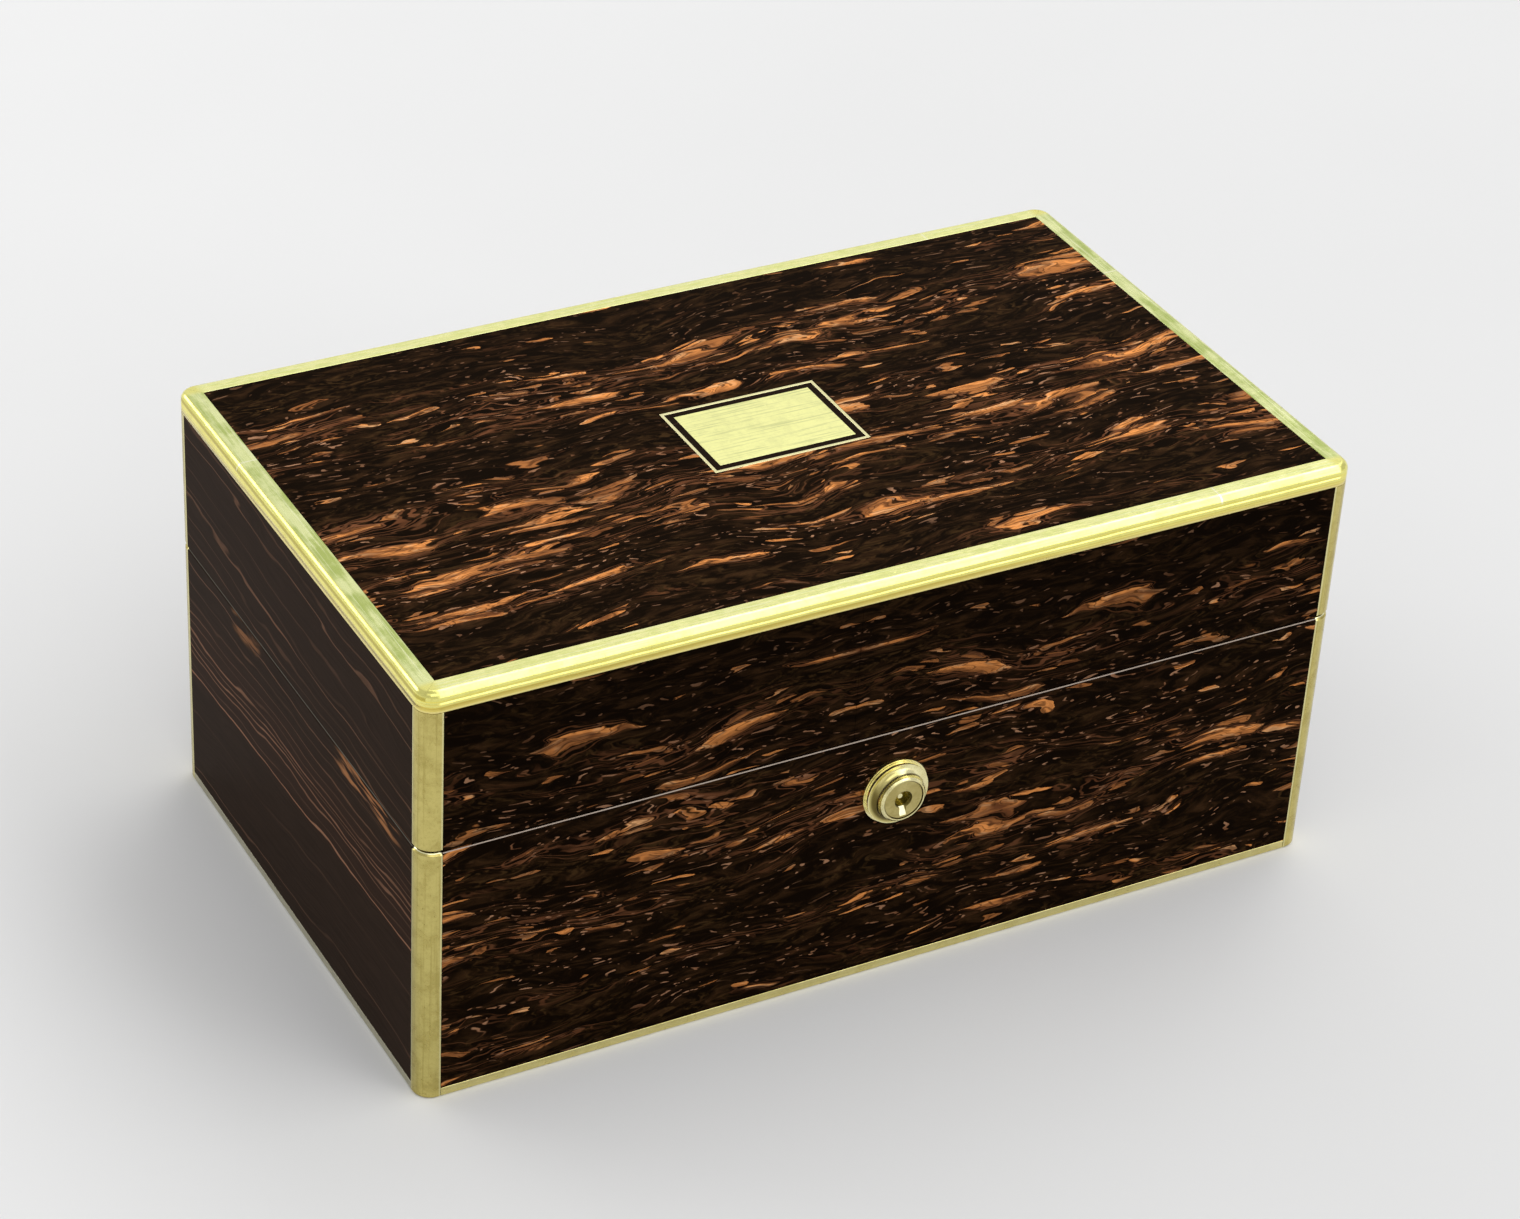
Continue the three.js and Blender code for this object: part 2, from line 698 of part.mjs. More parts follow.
// Base: brass corner strips, solid at the foot, and the bars between them
for (const [place, signs] of Object.entries(CORNERS)) {
  const column = baseOutside.intersect(cornerColumn(signs, [-overrun, baseTop + overrun]));
  const strip = column.subtract(baseCarcass(skin, footHeight));
  add(base, `base_corner_strip_${place}`, strip, "brass");
}
const footLayer = middleBlock(reach, reach, [-overrun, footHeight]);
for (const side of SIDES) {
  const slab = sideSlab(side, stripFace, stripFace + glueGap);
  add(base, `base_foot_strip_${side}`, baseOutside.intersect(slab).intersect(footLayer), "brass");
}

// Base: liner with its lip, floor pad and tray rests
const linerHalf = [innerHalfWidth - glueGap, innerHalfDepth - glueGap];
const linerInner = linerHalf.map((half) => half - linerThickness);
const linerBottom = floorTop + glueGap;
const lipTop = baseTop + lipHeight;
const linerOutside = roundedBlock(...linerHalf, linerThickness, [
  [linerBottom, 0],
  [baseTop, 0],
  [baseTop, lipSetback],
  [lipTop - lipRound, lipSetback],
  [lipTop, lipSetback + lipRound],
]);
const linerHollow = roundedBlock(...linerInner.map((half) => half + lipRound), linerThickness, [
  [linerBottom - overrun, lipRound],
  [lipTop - lipRound, lipRound],
  [lipTop, 0],
  [lipTop + overrun, 0],
]);
add(base, "base_liner", linerOutside.subtract(linerHollow), "liner");

const floorPadHalf = linerInner.map((half) => half - floorPadGap);
const floorPadBottom = floorTop + glueGap;
const floorPadTop = floorPadBottom + floorPadThickness;
const floorPad = roundedBlock(...floorPadHalf, linerThickness, [
  [floorPadBottom, 0],
  ...topRound(floorPadTop, floorPadRound),
]);
add(base, "floor_pad", floorPad, "velvet");

const trayTop = baseTop - trayDrop;
const trayBottom = trayTop - trayHeight;
const restZ = [trayBottom - glueGap - restHeight, trayBottom - glueGap];
const restY = [-linerInner[1] + linerThickness, linerInner[1] - linerThickness];
const restOuter = linerInner[0] - glueGap;
add(base, "tray_rest_left", block([-restOuter, -restOuter + restWidth], restY, restZ), "liner");
add(base, "tray_rest_right", block([restOuter - restWidth, restOuter], restY, restZ), "liner");

// Lock and the base's hinge leaf
add(base, "lock_nozzle", atLock(lockNozzle()), "brass");
add(base, "lock_cap", atLock(lockCap()), "brass");
add(base, "lock_barrel", atLock(lockBarrel()), "brass");
add(base, "lock_case", atLock(lockCase()), "brass");
add(base, "lock_bolt", atLock(lockBolt()), "steel");
add(base, "hinge_base_leaf", hingeLeaf(-1, 0), "brass");
const hingePinSpan = [-hingeHalfLength, hingeHalfLength];
add(base, "hinge_pin", rod("x", hingePinRadius, hingeAxis, hingePinSpan, pinSides), "steel");

// Lid: carcass boards
const lidBlank = lidCarcass(skin + glueGap);
const lidWallLayer = middleBlock(reach, reach, [0, ceiling - glueGap]);
const lidTopLayer = middleBlock(reach, reach, [ceiling, reach]);
for (const side of SIDES) {
  const across = side === "front" || side === "back";
  const slab = sideSlab(side, wall, across ? 0 : wall + glueGap);
  let sideBoard = lidBlank.intersect(slab).intersect(lidWallLayer);
  if (side === "front") sideBoard = sideBoard.subtract(atLock(hookPocket()));
  if (side === "back") sideBoard = sideBoard.subtract(hingeRecess(1));
  add(lid, `lid_${side}_board`, sideBoard, "carcass");
}
add(lid, "lid_top_board", lidBlank.intersect(lidTopLayer), "carcass");

// Lid: veneers. The front has two leaves, opened like a book at the join.
const lidVeneerZ = [lidBottom, edgeStripBottom - glueGap];
const joinGap = glueGap / 2;
const frontLeaves = {
  front_left: [-panelHalfWidth, frontJoinOffset - joinGap],
  front_right: [frontJoinOffset + joinGap, panelHalfWidth],
};
for (const [place, span] of Object.entries(frontLeaves)) {
  add(lid, `lid_${place}_veneer`, sideVeneer("front", lidVeneerZ, "bottom", span), "veneer");
}
for (const side of ["back", "left", "right"]) {
  const half = side === "back" ? panelHalfWidth : panelHalfDepth;
  let veneer = sideVeneer(side, lidVeneerZ, "bottom", [-half, half]);
  if (side === "back") veneer = veneer.subtract(hingeRecess(1));
  add(lid, `lid_${side}_veneer`, veneer, "veneer");
}
const inlayZ = [caseHeight - skin, caseHeight];
const inlayRing = plateStringing + plateBand;
const inlayHalf = [plateWidth / 2 + inlayRing, plateDepth / 2 + inlayRing];

function inlay(inset) {
  return middleBlock(inlayHalf[0] - inset, inlayHalf[1] - inset, inlayZ);
}

function inlayHole(inset) {
  return middleBlock(inlayHalf[0] - inset, inlayHalf[1] - inset, [0, reach]);
}
const topVeneer = middleBlock(panelHalfWidth, panelHalfDepth, inlayZ).subtract(inlayHole(-glueGap));
add(lid, "lid_top_veneer", topVeneer, "veneer");
add(lid, "plate_stringing", inlay(0).subtract(inlayHole(plateStringing)), "brass");
const bandOutside = inlay(plateStringing + glueGap);
add(lid, "plate_band", bandOutside.subtract(inlayHole(inlayRing - glueGap)), "ebony");
add(lid, "name_plate", inlay(inlayRing), "brass");

// Lid: brass edge strips, mitred at the corners, and corner strips under them
const edgeRing = lidOutside
  .intersect(middleBlock(reach, reach, [edgeStripBottom, reach]))
  .subtract(lidCarcass(skin))
  .subtract(middleBlock(halfWidth - stripFace, halfDepth - stripFace, [0, reach]));
const mitreReach = stripFace + overrun;
const MITRED = {
  front: { along: [1, 0], out: [0, -1], half: [halfWidth, halfDepth] },
  back: { along: [-1, 0], out: [0, 1], half: [halfWidth, halfDepth] },
  left: { along: [0, -1], out: [-1, 0], half: [halfDepth, halfWidth] },
  right: { along: [0, 1], out: [1, 0], half: [halfDepth, halfWidth] },
};
for (const [side, { along, out, half }] of Object.entries(MITRED)) {
  const [halfLength, offset] = half;
  const corners = [
    [-halfLength - overrun + glueGap, offset + overrun],
    [halfLength + overrun - glueGap, offset + overrun],
    [halfLength - mitreReach - glueGap, offset - mitreReach],
    [-halfLength + mitreReach + glueGap, offset - mitreReach],
  ];
  const points = corners.map(([a, o]) => [a * along[0] + o * out[0], a * along[1] + o * out[1]]);
  const wedge = prism(outline(points), "z", [0, reach]);
  add(lid, `lid_edge_strip_${side}`, edgeRing.intersect(wedge), "brass");
}
for (const [place, signs] of Object.entries(CORNERS)) {
  const column = cornerColumn(signs, [lidBottom - overrun, edgeStripBottom - glueGap]);
  const strip = lidOutside.intersect(column).subtract(lidCarcass(skin));
  add(lid, `lid_corner_strip_${place}`, strip, "brass");
}

// Lid: hinge leaf, hook plate and padded panel
add(lid, "hinge_lid_leaf", hingeLeaf(1, 1), "brass");
add(lid, "lid_hook_plate", atLock(hookPlate()), "brass");
const lidPadTop = ceiling - seatGap;
const lidPad = roundedBlock(innerHalfWidth - lidPadGap, innerHalfDepth - lidPadGap, lidPadCorner, [
  ...footRound(lidPadTop - lidPadThickness, lidPadRound),
  [lidPadTop, 0],
]);
add(lid, "lid_pad", lidPad, "velvet");

// Tray
const trayHalf = linerInner.map((half) => half - trayGap);
const trayInner = trayHalf.map((half) => half - trayWall);
const trayShell = roundedBlock(...trayHalf, trayCorner, [[trayBottom, 0], [trayTop, 0]]);
add(tray, "tray_frame", trayShell.subtract(middleBlock(...trayInner, [0, reach])), "liner");
const trayFloorTop = trayBottom + trayFloor;
const trayFloorHalf = trayInner.map((half) => half - glueGap);
add(tray, "tray_floor", middleBlock(...trayFloorHalf, [trayBottom, trayFloorTop]), "liner");

const bayX = -trayInner[0] + ringBayWidth;
const dividerZ = [trayFloorTop + glueGap, trayTop - dividerDrop];
const dividerY = [-trayInner[1] + glueGap, trayInner[1] - glueGap];
const halfDivider = dividerThickness / 2;
const crossX = bayX + dividerThickness + (trayInner[0] - bayX) * crossBayShare;
const dividers = block([bayX, bayX + dividerThickness], dividerY, dividerZ)
  .add(block([bayX, crossX + dividerThickness], [-halfDivider, halfDivider], dividerZ))
  .add(block([crossX, crossX + dividerThickness], dividerY, dividerZ));
add(tray, "tray_dividers", dividers, "liner");

const rollPitch = (2 * (trayInner[1] - softGap)) / ringRollCount;
const rollFoot = trayFloorTop + softGap;
const rollShape = new THREE.Shape();
rollShape.moveTo(-trayInner[1] + softGap, rollFoot);
rollShape.lineTo(-trayInner[1] + softGap, rollFoot + ringPadBase);
for (let roll = 0; roll < ringRollCount; roll++) {
  const middle = -trayInner[1] + softGap + (roll + 0.5) * rollPitch;
  const roof = [middle, rollFoot + ringPadBase, rollPitch / 2, ringRollHeight - ringPadBase];
  rollShape.absellipse(...roof, Math.PI, 0, true, 0);
}
rollShape.lineTo(trayInner[1] - softGap, rollFoot);
rollShape.closePath();
const rollX = [-trayInner[0] + seatGap + ribbonThickness + softGap, bayX - softGap];
add(tray, "ring_pad", prism(rollShape, "x", rollX, cornerSteps), "velvet");

const ribbonZ = [trayTop - ribbonDrop - ribbonHang, trayTop - ribbonDrop];
const ribbonY = [-ribbonWidth / 2, ribbonWidth / 2];
const ribbonOuter = trayInner[0] - seatGap;
const ribbonInner = ribbonOuter - ribbonThickness;
add(tray, "tray_ribbon_left", block([-ribbonOuter, -ribbonInner], ribbonY, ribbonZ), "ribbon");
add(tray, "tray_ribbon_right", block([ribbonInner, ribbonOuter], ribbonY, ribbonZ), "ribbon");

export default jewelryBox;
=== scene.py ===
"""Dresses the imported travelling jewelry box: veneers, brass, lock, hinge, tray and soft linings.

Metres, +Z up, the front towards -Y. Every piece rides on one of the frame's bodies.
"""

import math
import random

import bmesh
import bpy
from mathutils import Matrix, Vector, noise


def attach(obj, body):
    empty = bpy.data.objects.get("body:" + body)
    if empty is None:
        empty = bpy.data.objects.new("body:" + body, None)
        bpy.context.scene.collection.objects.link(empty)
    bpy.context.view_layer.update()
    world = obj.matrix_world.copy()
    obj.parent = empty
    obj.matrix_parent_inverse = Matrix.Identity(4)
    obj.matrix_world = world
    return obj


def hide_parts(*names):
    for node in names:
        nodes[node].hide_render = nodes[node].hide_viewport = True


MM = 0.001
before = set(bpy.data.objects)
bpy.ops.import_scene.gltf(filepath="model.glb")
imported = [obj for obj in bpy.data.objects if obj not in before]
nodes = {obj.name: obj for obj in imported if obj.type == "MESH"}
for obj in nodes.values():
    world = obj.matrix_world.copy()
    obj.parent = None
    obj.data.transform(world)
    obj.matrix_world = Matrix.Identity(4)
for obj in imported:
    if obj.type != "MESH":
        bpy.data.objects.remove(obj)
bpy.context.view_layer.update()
dice = random.Random(41)

# Measures that several pieces share, in millimetres
HEIGHT = 140.6
BASE_TOP = 87.0
LID_BOTTOM = 87.4
CASE_HALF = {"x": 152.5, "y": 90.35}
STRIP = 6.5
CORNER_RADIUS = 5.6
ARRIS_RADIUS = 3.2
FULLER_ARRIS_RADIUS = 2.3
LOCK_X = -1.25
LOCK_Z = 66.5
GROOVE_RADIUS = 10.3


# Small helpers for node trees


class Value:
    """An output socket of a node tree, with ordinary arithmetic."""

    def __init__(self, graph, socket):
        self.graph = graph
        self.socket = socket

    def __add__(self, other):
        return self.graph.math("ADD", self, other)

    def __sub__(self, other):
        return self.graph.math("SUBTRACT", self, other)

    def __rsub__(self, other):
        return self.graph.math("SUBTRACT", other, self)

    def __mul__(self, other):
        return self.graph.math("MULTIPLY", self, other)

    def __truediv__(self, other):
        return self.graph.math("DIVIDE", self, other)

    def __abs__(self):
        return self.graph.math("ABSOLUTE", self)


class Graph:
    """Adds nodes to one tree."""

    def __init__(self, tree):
        self.tree = tree

    def feed(self, socket, value):
        if isinstance(value, Value):
            self.tree.links.new(value.socket, socket)
        elif socket.type == "RGBA":
            socket.default_value = (*value, 1.0)
        else:
            socket.default_value = value

    def node(self, kind, inputs, **settings):
        """A new node with its inputs fed, by place or by name."""
        made = self.tree.nodes.new(kind)
        for name, value in settings.items():
            setattr(made, name, value)
        for key, value in inputs.items():
            self.feed(made.inputs[key], value)
        return made

    def value(self, kind, inputs, output=0, **settings):
        return Value(self, self.node(kind, inputs, **settings).outputs[output])

    def math(self, operation, first, second=0.0, clamp=False):
        return self.value("ShaderNodeMath", {0: first, 1: second}, operation=operation, use_clamp=clamp)

    def vector_math(self, operation, first, second):
        return self.value("ShaderNodeVectorMath", {0: first, 1: second}, operation=operation)

    def point(self, x, y, z=0.0):
        return self.value("ShaderNodeCombineXYZ", {0: x, 1: y, 2: z})

    def split(self, whole, kind="XYZ"):
        return [Value(self, part) for part in self.node(f"ShaderNodeSeparate{kind}", {0: whole}).outputs]

    def noise(self, vector, detail=2.0, roughness=0.5, distortion=0.0, scale=1.0):
        inputs = {"Vector": vector, "Scale": scale, "Detail": detail, "Roughness": roughness}
        inputs["Distortion"] = distortion
        return self.value("ShaderNodeTexNoise", inputs, noise_dimensions="3D")

    def grains(self, along, across, long_size, short_size, seed, **quality):
        """Noise whose grains are long_size by short_size."""
        return self.noise(self.point(along / long_size, across / short_size, seed), **quality)

    def swing(self, value, reach):
        """Noise turned into a shift of up to about reach either way."""
        return (value - 0.5) * (reach * 2)

    def step(self, value, low, high):
        """0 below low, 1 above high, and smooth between."""
        inputs = {"Value": value, "From Min": low, "From Max": high}
        return self.value("ShaderNodeMapRange", inputs, interpolation_type="SMOOTHSTEP")

    def scaled(self, value, low, high):
        """0 to 1 turned into low to high."""
        return self.value("ShaderNodeMapRange", {"Value": value, "To Min": low, "To Max": high})

    def blend(self, share, first, second):
        """A colour that goes from first to second as share goes from 0 to 1."""
        return self.value("ShaderNodeMix", {0: share, 6: first, 7: second}, output=2, data_type="RGBA")

    def bump(self, height, distance, strength=1.0, over=None):
        inputs = {"Strength": strength, "Distance": distance, "Height": height}
        if over:
            inputs["Normal"] = over
        return self.value("ShaderNodeBump", inputs)

    def use(self, group, **inputs):
        """A node group with its inputs fed: its outputs by name."""
        made = self.node("ShaderNodeGroup", inputs, node_tree=group)
        return {out.name: Value(self, out) for out in made.outputs}

    def end(self, result, **values):
        for label, value in values.items():
            self.feed(result[label], value)
        return self.tree


# The kinds of an effect's inputs and outputs that aren't plain values
KINDS = {
    **dict.fromkeys(("Color", "Bright", "Dull", "Dark", "Light", "Deep", "Pale"), "NodeSocketColor"),
    **dict.fromkeys(("Point", "Streaks"), "NodeSocketVector"),
}


def effect(name, inputs, outputs=("Color", "Height")):
    """A new node group: its graph, the sockets of its result, then its inputs in order."""
    tree = bpy.data.node_groups.new(name, "ShaderNodeTree")
    for direction, labels in (("INPUT", inputs), ("OUTPUT", outputs)):
        for label in labels:
            kind = KINDS.get(label, "NodeSocketFloat")
            tree.interface.new_socket(label, in_out=direction, socket_type=kind)
    graph = Graph(tree)
    given = graph.node("NodeGroupInput", {}).outputs
    result = graph.node("NodeGroupOutput", {}).inputs
    return graph, result, *[Value(graph, given[label]) for label in inputs]


# Effects


def figured_effect():
    """Coromandel figure: flames with fine lines round them, flecks, threads and gold burr on near black."""
    g, result, along, across, seed, figure = effect("figured_veneer", ("Along", "Across", "Seed", "Figure"))

    def grains(a, c, long_size, short_size, layer, **quality):
        return g.grains(a, c, long_size, short_size, seed + layer, **quality)

    drift = grains(along, across, 90, 42, 0.0, detail=1.0)
    drifted = across + g.swing(drift, 12)
    curl = grains(along, drifted, 22, 7.0, 4.0, detail=2.0, roughness=0.45)
    curled = drifted + g.swing(curl, 4.4)
    slide = along + g.swing(grains(along, across, 24, 5.0, 8.0, detail=2.0), 13)
    density = grains(along, drifted, 90, 14, 16.0, detail=2.0) + figure * 0.12
    rich = g.step(density, 0.5, 0.7)

    def flames(long_size, short_size, layer, chance):
        """Flames, one to a stretched cell, each with a thin tail and a blunt head.

        Gives 0 in the middle to 1 at the edge, the cell's lot, and -1 to 1 from the lower side to the upper.
        """
        where = g.point(slide / long_size + seed * 3.7, curled / short_size + layer)
        inputs = {"Vector": where, "Scale": 1.0}
        cells = g.node("ShaderNodeTexVoronoi", inputs, voronoi_dimensions="2D", feature="F1").outputs
        away = g.vector_math("SUBTRACT", where, Value(g, cells["Position"]))
        ahead, aside, _ = g.split(away)
        chance_lot, size_lot, colour_lot = g.split(Value(g, cells["Color"]), "Color")
        present = g.step(chance_lot + rich * chance, 0.94, 0.96)
        size = g.scaled(size_lot, 0.35, 1.0)
        shape = g.step(ahead, -0.5, 0.1) * g.step(ahead, 0.4, 0.22)
        wide = g.math("MAXIMUM", shape * (size * 0.34) * present, 0.002)
        return (abs(aside) + 0.006) / wide, colour_lot, aside / wide

    big, big_lot, upward = flames(38, 7.4, 1.0, 0.46)
    small, _, _ = flames(12, 3.0, 5.0, 0.36)

    # A smooth field: its high places are flames too, with nested lines round them
    field = grains(slide, curled, 28, 5.6, 12.0, detail=2.0, roughness=0.4)
    above = field - (0.715 - rich * 0.09)
    waves = g.math("SINE", field * 95)
    nested = g.step(waves, 0.35, 0.9) * (g.step(above, -0.15, -0.05) * rich)

    ragged = g.swing(grains(along, curled, 4.5, 1.2, 18.0, detail=3.0), 0.5)
    fibre = grains(along, curled, 5, 0.4, 20.0, detail=2.0)
    eyes = g.step(grains(slide, curled, 5.5, 2.2, 22.0, detail=1.0), 0.62, 0.68)
    flame = g.step(big + ragged, 1.05, 0.85)
    flame = g.math("MAXIMUM", flame, g.step(small + ragged, 1.05, 0.85) * 0.9)
    flame = g.math("MAXIMUM", flame, g.step(above, -0.004, 0.014))
    flame = flame * (1.0 - eyes * 0.9)
    halo = g.step(big, 2.6, 1.4) * g.step(g.math("SINE", big * 11), 0.1, 0.8)

    patches = grains(along, across, 40, 13, 24.0, detail=1.0)
    specks = g.step(grains(slide, curled, 4.2, 1.3, 28.0, detail=1.0), 0.65, 0.69)
    specks = specks * g.step(patches, 0.42, 0.54) * g.scaled(g.step(figure, -0.35, 0.2), 0.4, 1.0)
    near = abs(grains(slide, curled, 36, 2.4, 32.0, detail=2.0) - 0.54)
    threads = g.step(near, 0.026, 0.006) * g.step(density, 0.52, 0.66)
    mottle = grains(slide, curled, 12, 2.6, 36.0, detail=5.0, roughness=0.62)
    burr = g.step(grains(slide, curled, 3.4, 1.7, 40.0, detail=2.0, roughness=0.6), 0.48, 0.7)
    burr = burr * g.step(patches, 0.5, 0.36)

    speck_colour = g.blend(g.step(curl, 0.35, 0.65), (0.52, 0.27, 0.15), (0.24, 0.1, 0.045))
    colour = g.blend(g.step(mottle, 0.44, 0.76), (0.0062, 0.003, 0.0011), (0.048, 0.022, 0.0085))
    for share, tone in (
        (burr * 0.5, (0.09, 0.046, 0.016)),
        (threads * 0.6, (0.18, 0.07, 0.03)),
        (nested * 0.62, (0.27, 0.1, 0.042)),
        (halo * 0.55, (0.22, 0.082, 0.032)),
        (specks * 0.85, speck_colour),
    ):
        colour = g.blend(share, colour, tone)
    warmth = grains(slide, curled, 16, 3.0, 44.0, detail=3.0, roughness=0.6)
    share = g.step(warmth, 0.3, 0.6) + (big_lot - 0.5) * 0.4
    share = g.math("ADD", share, 0.0, clamp=True)
    share = share * g.scaled(g.step(upward, -0.9, 0.5), 0.4, 1.0)
    paleness = g.step(grains(slide, curled, 9, 2.2, 52.0, detail=2.0), 0.5, 0.66)
    lightest = g.blend(paleness, (0.98, 0.37, 0.1), (0.96, 0.5, 0.22))
    flame_colour = g.blend(share, (0.17, 0.06, 0.022), lightest)
    flame_colour = g.blend(g.step(fibre, 0.54, 0.32) * 0.45, flame_colour, (0.12, 0.04, 0.014))
    flame_lines = g.step(g.math("SINE", field * 120), 0.45, 0.95)
    flame_colour = g.blend(flame_lines * 0.6, flame_colour, (0.05, 0.018, 0.007))
    return g.end(result, Color=g.blend(flame, colour, flame_colour), Height=fibre)


# Thin lines in the end veneers: height, strength and half width
END_LINES = (
    *((9.5, 0.26, 0.45), (30.0, 0.1, 0.5), (49.3, 0.3, 0.4), (54.2, 0.62, 0.45), (57.0, 0.85, 0.5)),
    *((59.6, 0.66, 0.42), (62.2, 0.8, 0.48), (65.0, 0.4, 0.4), (69.0, 0.42, 0.42), (73.0, 0.36, 0.42)),
    *((78.0, 0.36, 0.42), (82.8, 0.5, 0.45), (91.6, 0.34, 0.42), (96.5, 0.2, 0.42), (103.4, 0.58, 0.46)),
    *((106.0, 0.2, 0.4), (114.0, 0.14, 0.5), (125.5, 0.46, 0.46), (131.0, 0.2, 0.5)),
)


def striped_effect():
    """Quarter-cut ends: charcoal with long thin brown lines, closest in a band across the middle."""
    g, result, along, across, seed = effect("striped_veneer", ("Along", "Across", "Seed"))
    bend = g.grains(along, across, 150, 70, seed, detail=1.0)
    waver = g.grains(along, across, 34, 20, seed + 3.0, detail=3.0, roughness=0.42)
    parting = g.grains(along, across, 60, 5, seed + 5.0, detail=1.0)
    slope = along * g.scaled(g.step(across, 62, 95), 0.045, -0.045)
    bent = across + slope + (g.swing(bend, 6) + (g.swing(waver, 3.6) + g.swing(parting, 2.8)))
    fading = g.grains(along, bent, 46, 2.2, seed + 9.0, detail=2.0)
    lines = 0.0
    for height, strength, half_width in END_LINES:
        line = g.step(abs(bent - height), half_width, half_width * 0.25) * strength
        lines = g.math("MAXIMUM", lines, line)
    lines = lines * g.scaled(g.step(fading, 0.36, 0.6), 0.34, 1.0)
    lines = g.math("MAXIMUM", lines, g.step(abs(bent - 45.5), 0.52, 0.2))
    band = g.step(bent, 42, 48) * g.step(bent, 78, 66)
    fleck_field = g.grains(along, bent, 15, 1.9, seed + 15.0, detail=2.0)
    flecks = g.step(fleck_field, 0.45, 0.62) * g.step(across, 79.0, 81.5) * g.step(across, 87.0, 86.6)
    near_front = g.step(along, -78, -68) * g.step(along, -28, -38)
    near_back = g.step(along, 24, 30) * g.step(along, 50, 44)
    flecks = flecks * g.math("MAXIMUM", near_front, near_back * 0.6)
    fibre = g.grains(along, bent, 22, 0.6, seed + 18.0, detail=2.0)
    colour = g.blend(g.step(fibre, 0.3, 0.7), (0.0215, 0.0124, 0.0073), (0.0285, 0.0164, 0.0102))
    colour = g.blend(band * 0.35, colour, (0.04, 0.019, 0.0115))
    colour = g.blend(lines * 0.95, colour, (0.27, 0.135, 0.078))
    colour = g.blend(flecks * 0.9, colour, (0.36, 0.155, 0.062))
    return g.end(result, Color=colour, Height=fibre)


def brass_effect():
    """Aged brass: cloudy tarnish, drawn streaks along the piece and small dents."""
    inputs = ("Point", "Streaks", "Bright", "Dull", "Tarnish", "Drawn")
    g, result, point, stretched, bright, dull, tarnish, drawn = effect(
        "aged_brass", inputs, ("Color", "Roughness", "Height")
    )
    clouds = g.noise(point, detail=4.0, roughness=0.62, scale=0.16)
    grime = g.noise(point, detail=3.0, roughness=0.7, scale=0.9)
    streaks = g.noise(stretched, detail=3.0, roughness=0.55)
    dents = g.step(g.noise(point, detail=1.0, scale=0.55), 0.3, 0.2)
    share = g.step(clouds, 0.4, 0.66) * 0.7 + g.step(grime, 0.45, 0.75) * 0.5
    share = g.math("MULTIPLY", share, tarnish, clamp=True)
    colour = g.blend(share, bright, dull)
    colour = g.blend(g.step(streaks, 0.5, 0.68) * drawn, colour, dull)
    rough = g.scaled(share, 0.17, 0.36) + g.step(streaks, 0.5, 0.8) * 0.1
    return g.end(result, Color=colour, Roughness=rough, Height=streaks * 0.5 - dents * 0.8)


def grain_effect():
    """Plain straight-grained wood with short pores."""
    g, result, along, across, seed, dark, light = effect(
        "plain_grain", ("Along", "Across", "Seed", "Dark", "Light")
    )
    bent = across + g.swing(g.grains(along, across, 90, 30, seed, detail=1.0), 5)
    rings = g.grains(along, bent, 140, 3.2, seed + 3.0, detail=4.0)
    pores = g.step(g.grains(along, bent, 3.6, 0.22, seed + 6.0, detail=1.0), 0.6, 0.72)
    colour = g.blend(g.step(rings, 0.34, 0.66), dark, light)
    colour = g.blend(pores * 0.55, colour, dark)
    return g.end(result, Color=colour, Height=1.0 - pores)


def pile_effect():
    """Velvet pile: soft brushed patches over a very fine nap."""
    g, result, point, deep, pale = effect("velvet_pile", ("Point", "Deep", "Pale"))
    brushed = g.noise(point, detail=2.0, roughness=0.45, distortion=0.6, scale=0.055)
    nap = g.noise(point, detail=2.0, roughness=0.6, scale=2.4)
    share = g.step(brushed, 0.34, 0.68) * 0.36 + nap * 0.5
    return g.end(result, Color=g.blend(share, deep, pale), Height=nap)


def weave_effect():
    """Ribbed weave: fine ribs across the piece, with the odd slub."""
    g, result, along, across, pitch, deep, pale = effect(
        "ribbed_weave", ("Along", "Across", "Pitch", "Deep", "Pale")
    )
    ribs = g.math("SINE", along / pitch * math.tau)
    picks = g.math("SINE", across / pitch * math.tau)
    slubs = g.grains(along, across, 0.9, 6.0, 1.0, detail=2.0)
    height = g.scaled(ribs, 0.25, 0.5) + ribs * picks * 0.22
    share = height * 0.7 + slubs * 0.4
    return g.end(result, Color=g.blend(share, deep, pale), Height=height)


FIGURED = figured_effect()
STRIPED = striped_effect()
AGED_BRASS = brass_effect()
GRAIN = grain_effect()
PILE = pile_effect()
WEAVE = weave_effect()


# Finishes

finishes = {}


def new_finish(name, **looks):
    """An empty finish with its Principled shader: its graph and the shader's inputs."""
    made = bpy.data.materials.new(name)
    made.use_nodes = True
    finishes[name] = made
    g = Graph(made.node_tree)
    inputs = made.node_tree.nodes["Principled BSDF"].inputs
    for label, value in looks.items():
        g.feed(inputs[label.replace("_", " ")], value)
    return g, inputs


def place(g):
    """Where a point of the piece is, in millimetres of the box at rest."""
    coordinates = g.value("ShaderNodeTexCoord", {}, output="Object")
    return g.value("ShaderNodeVectorMath", {0: coordinates, "Scale": 1 / MM}, operation="SCALE")


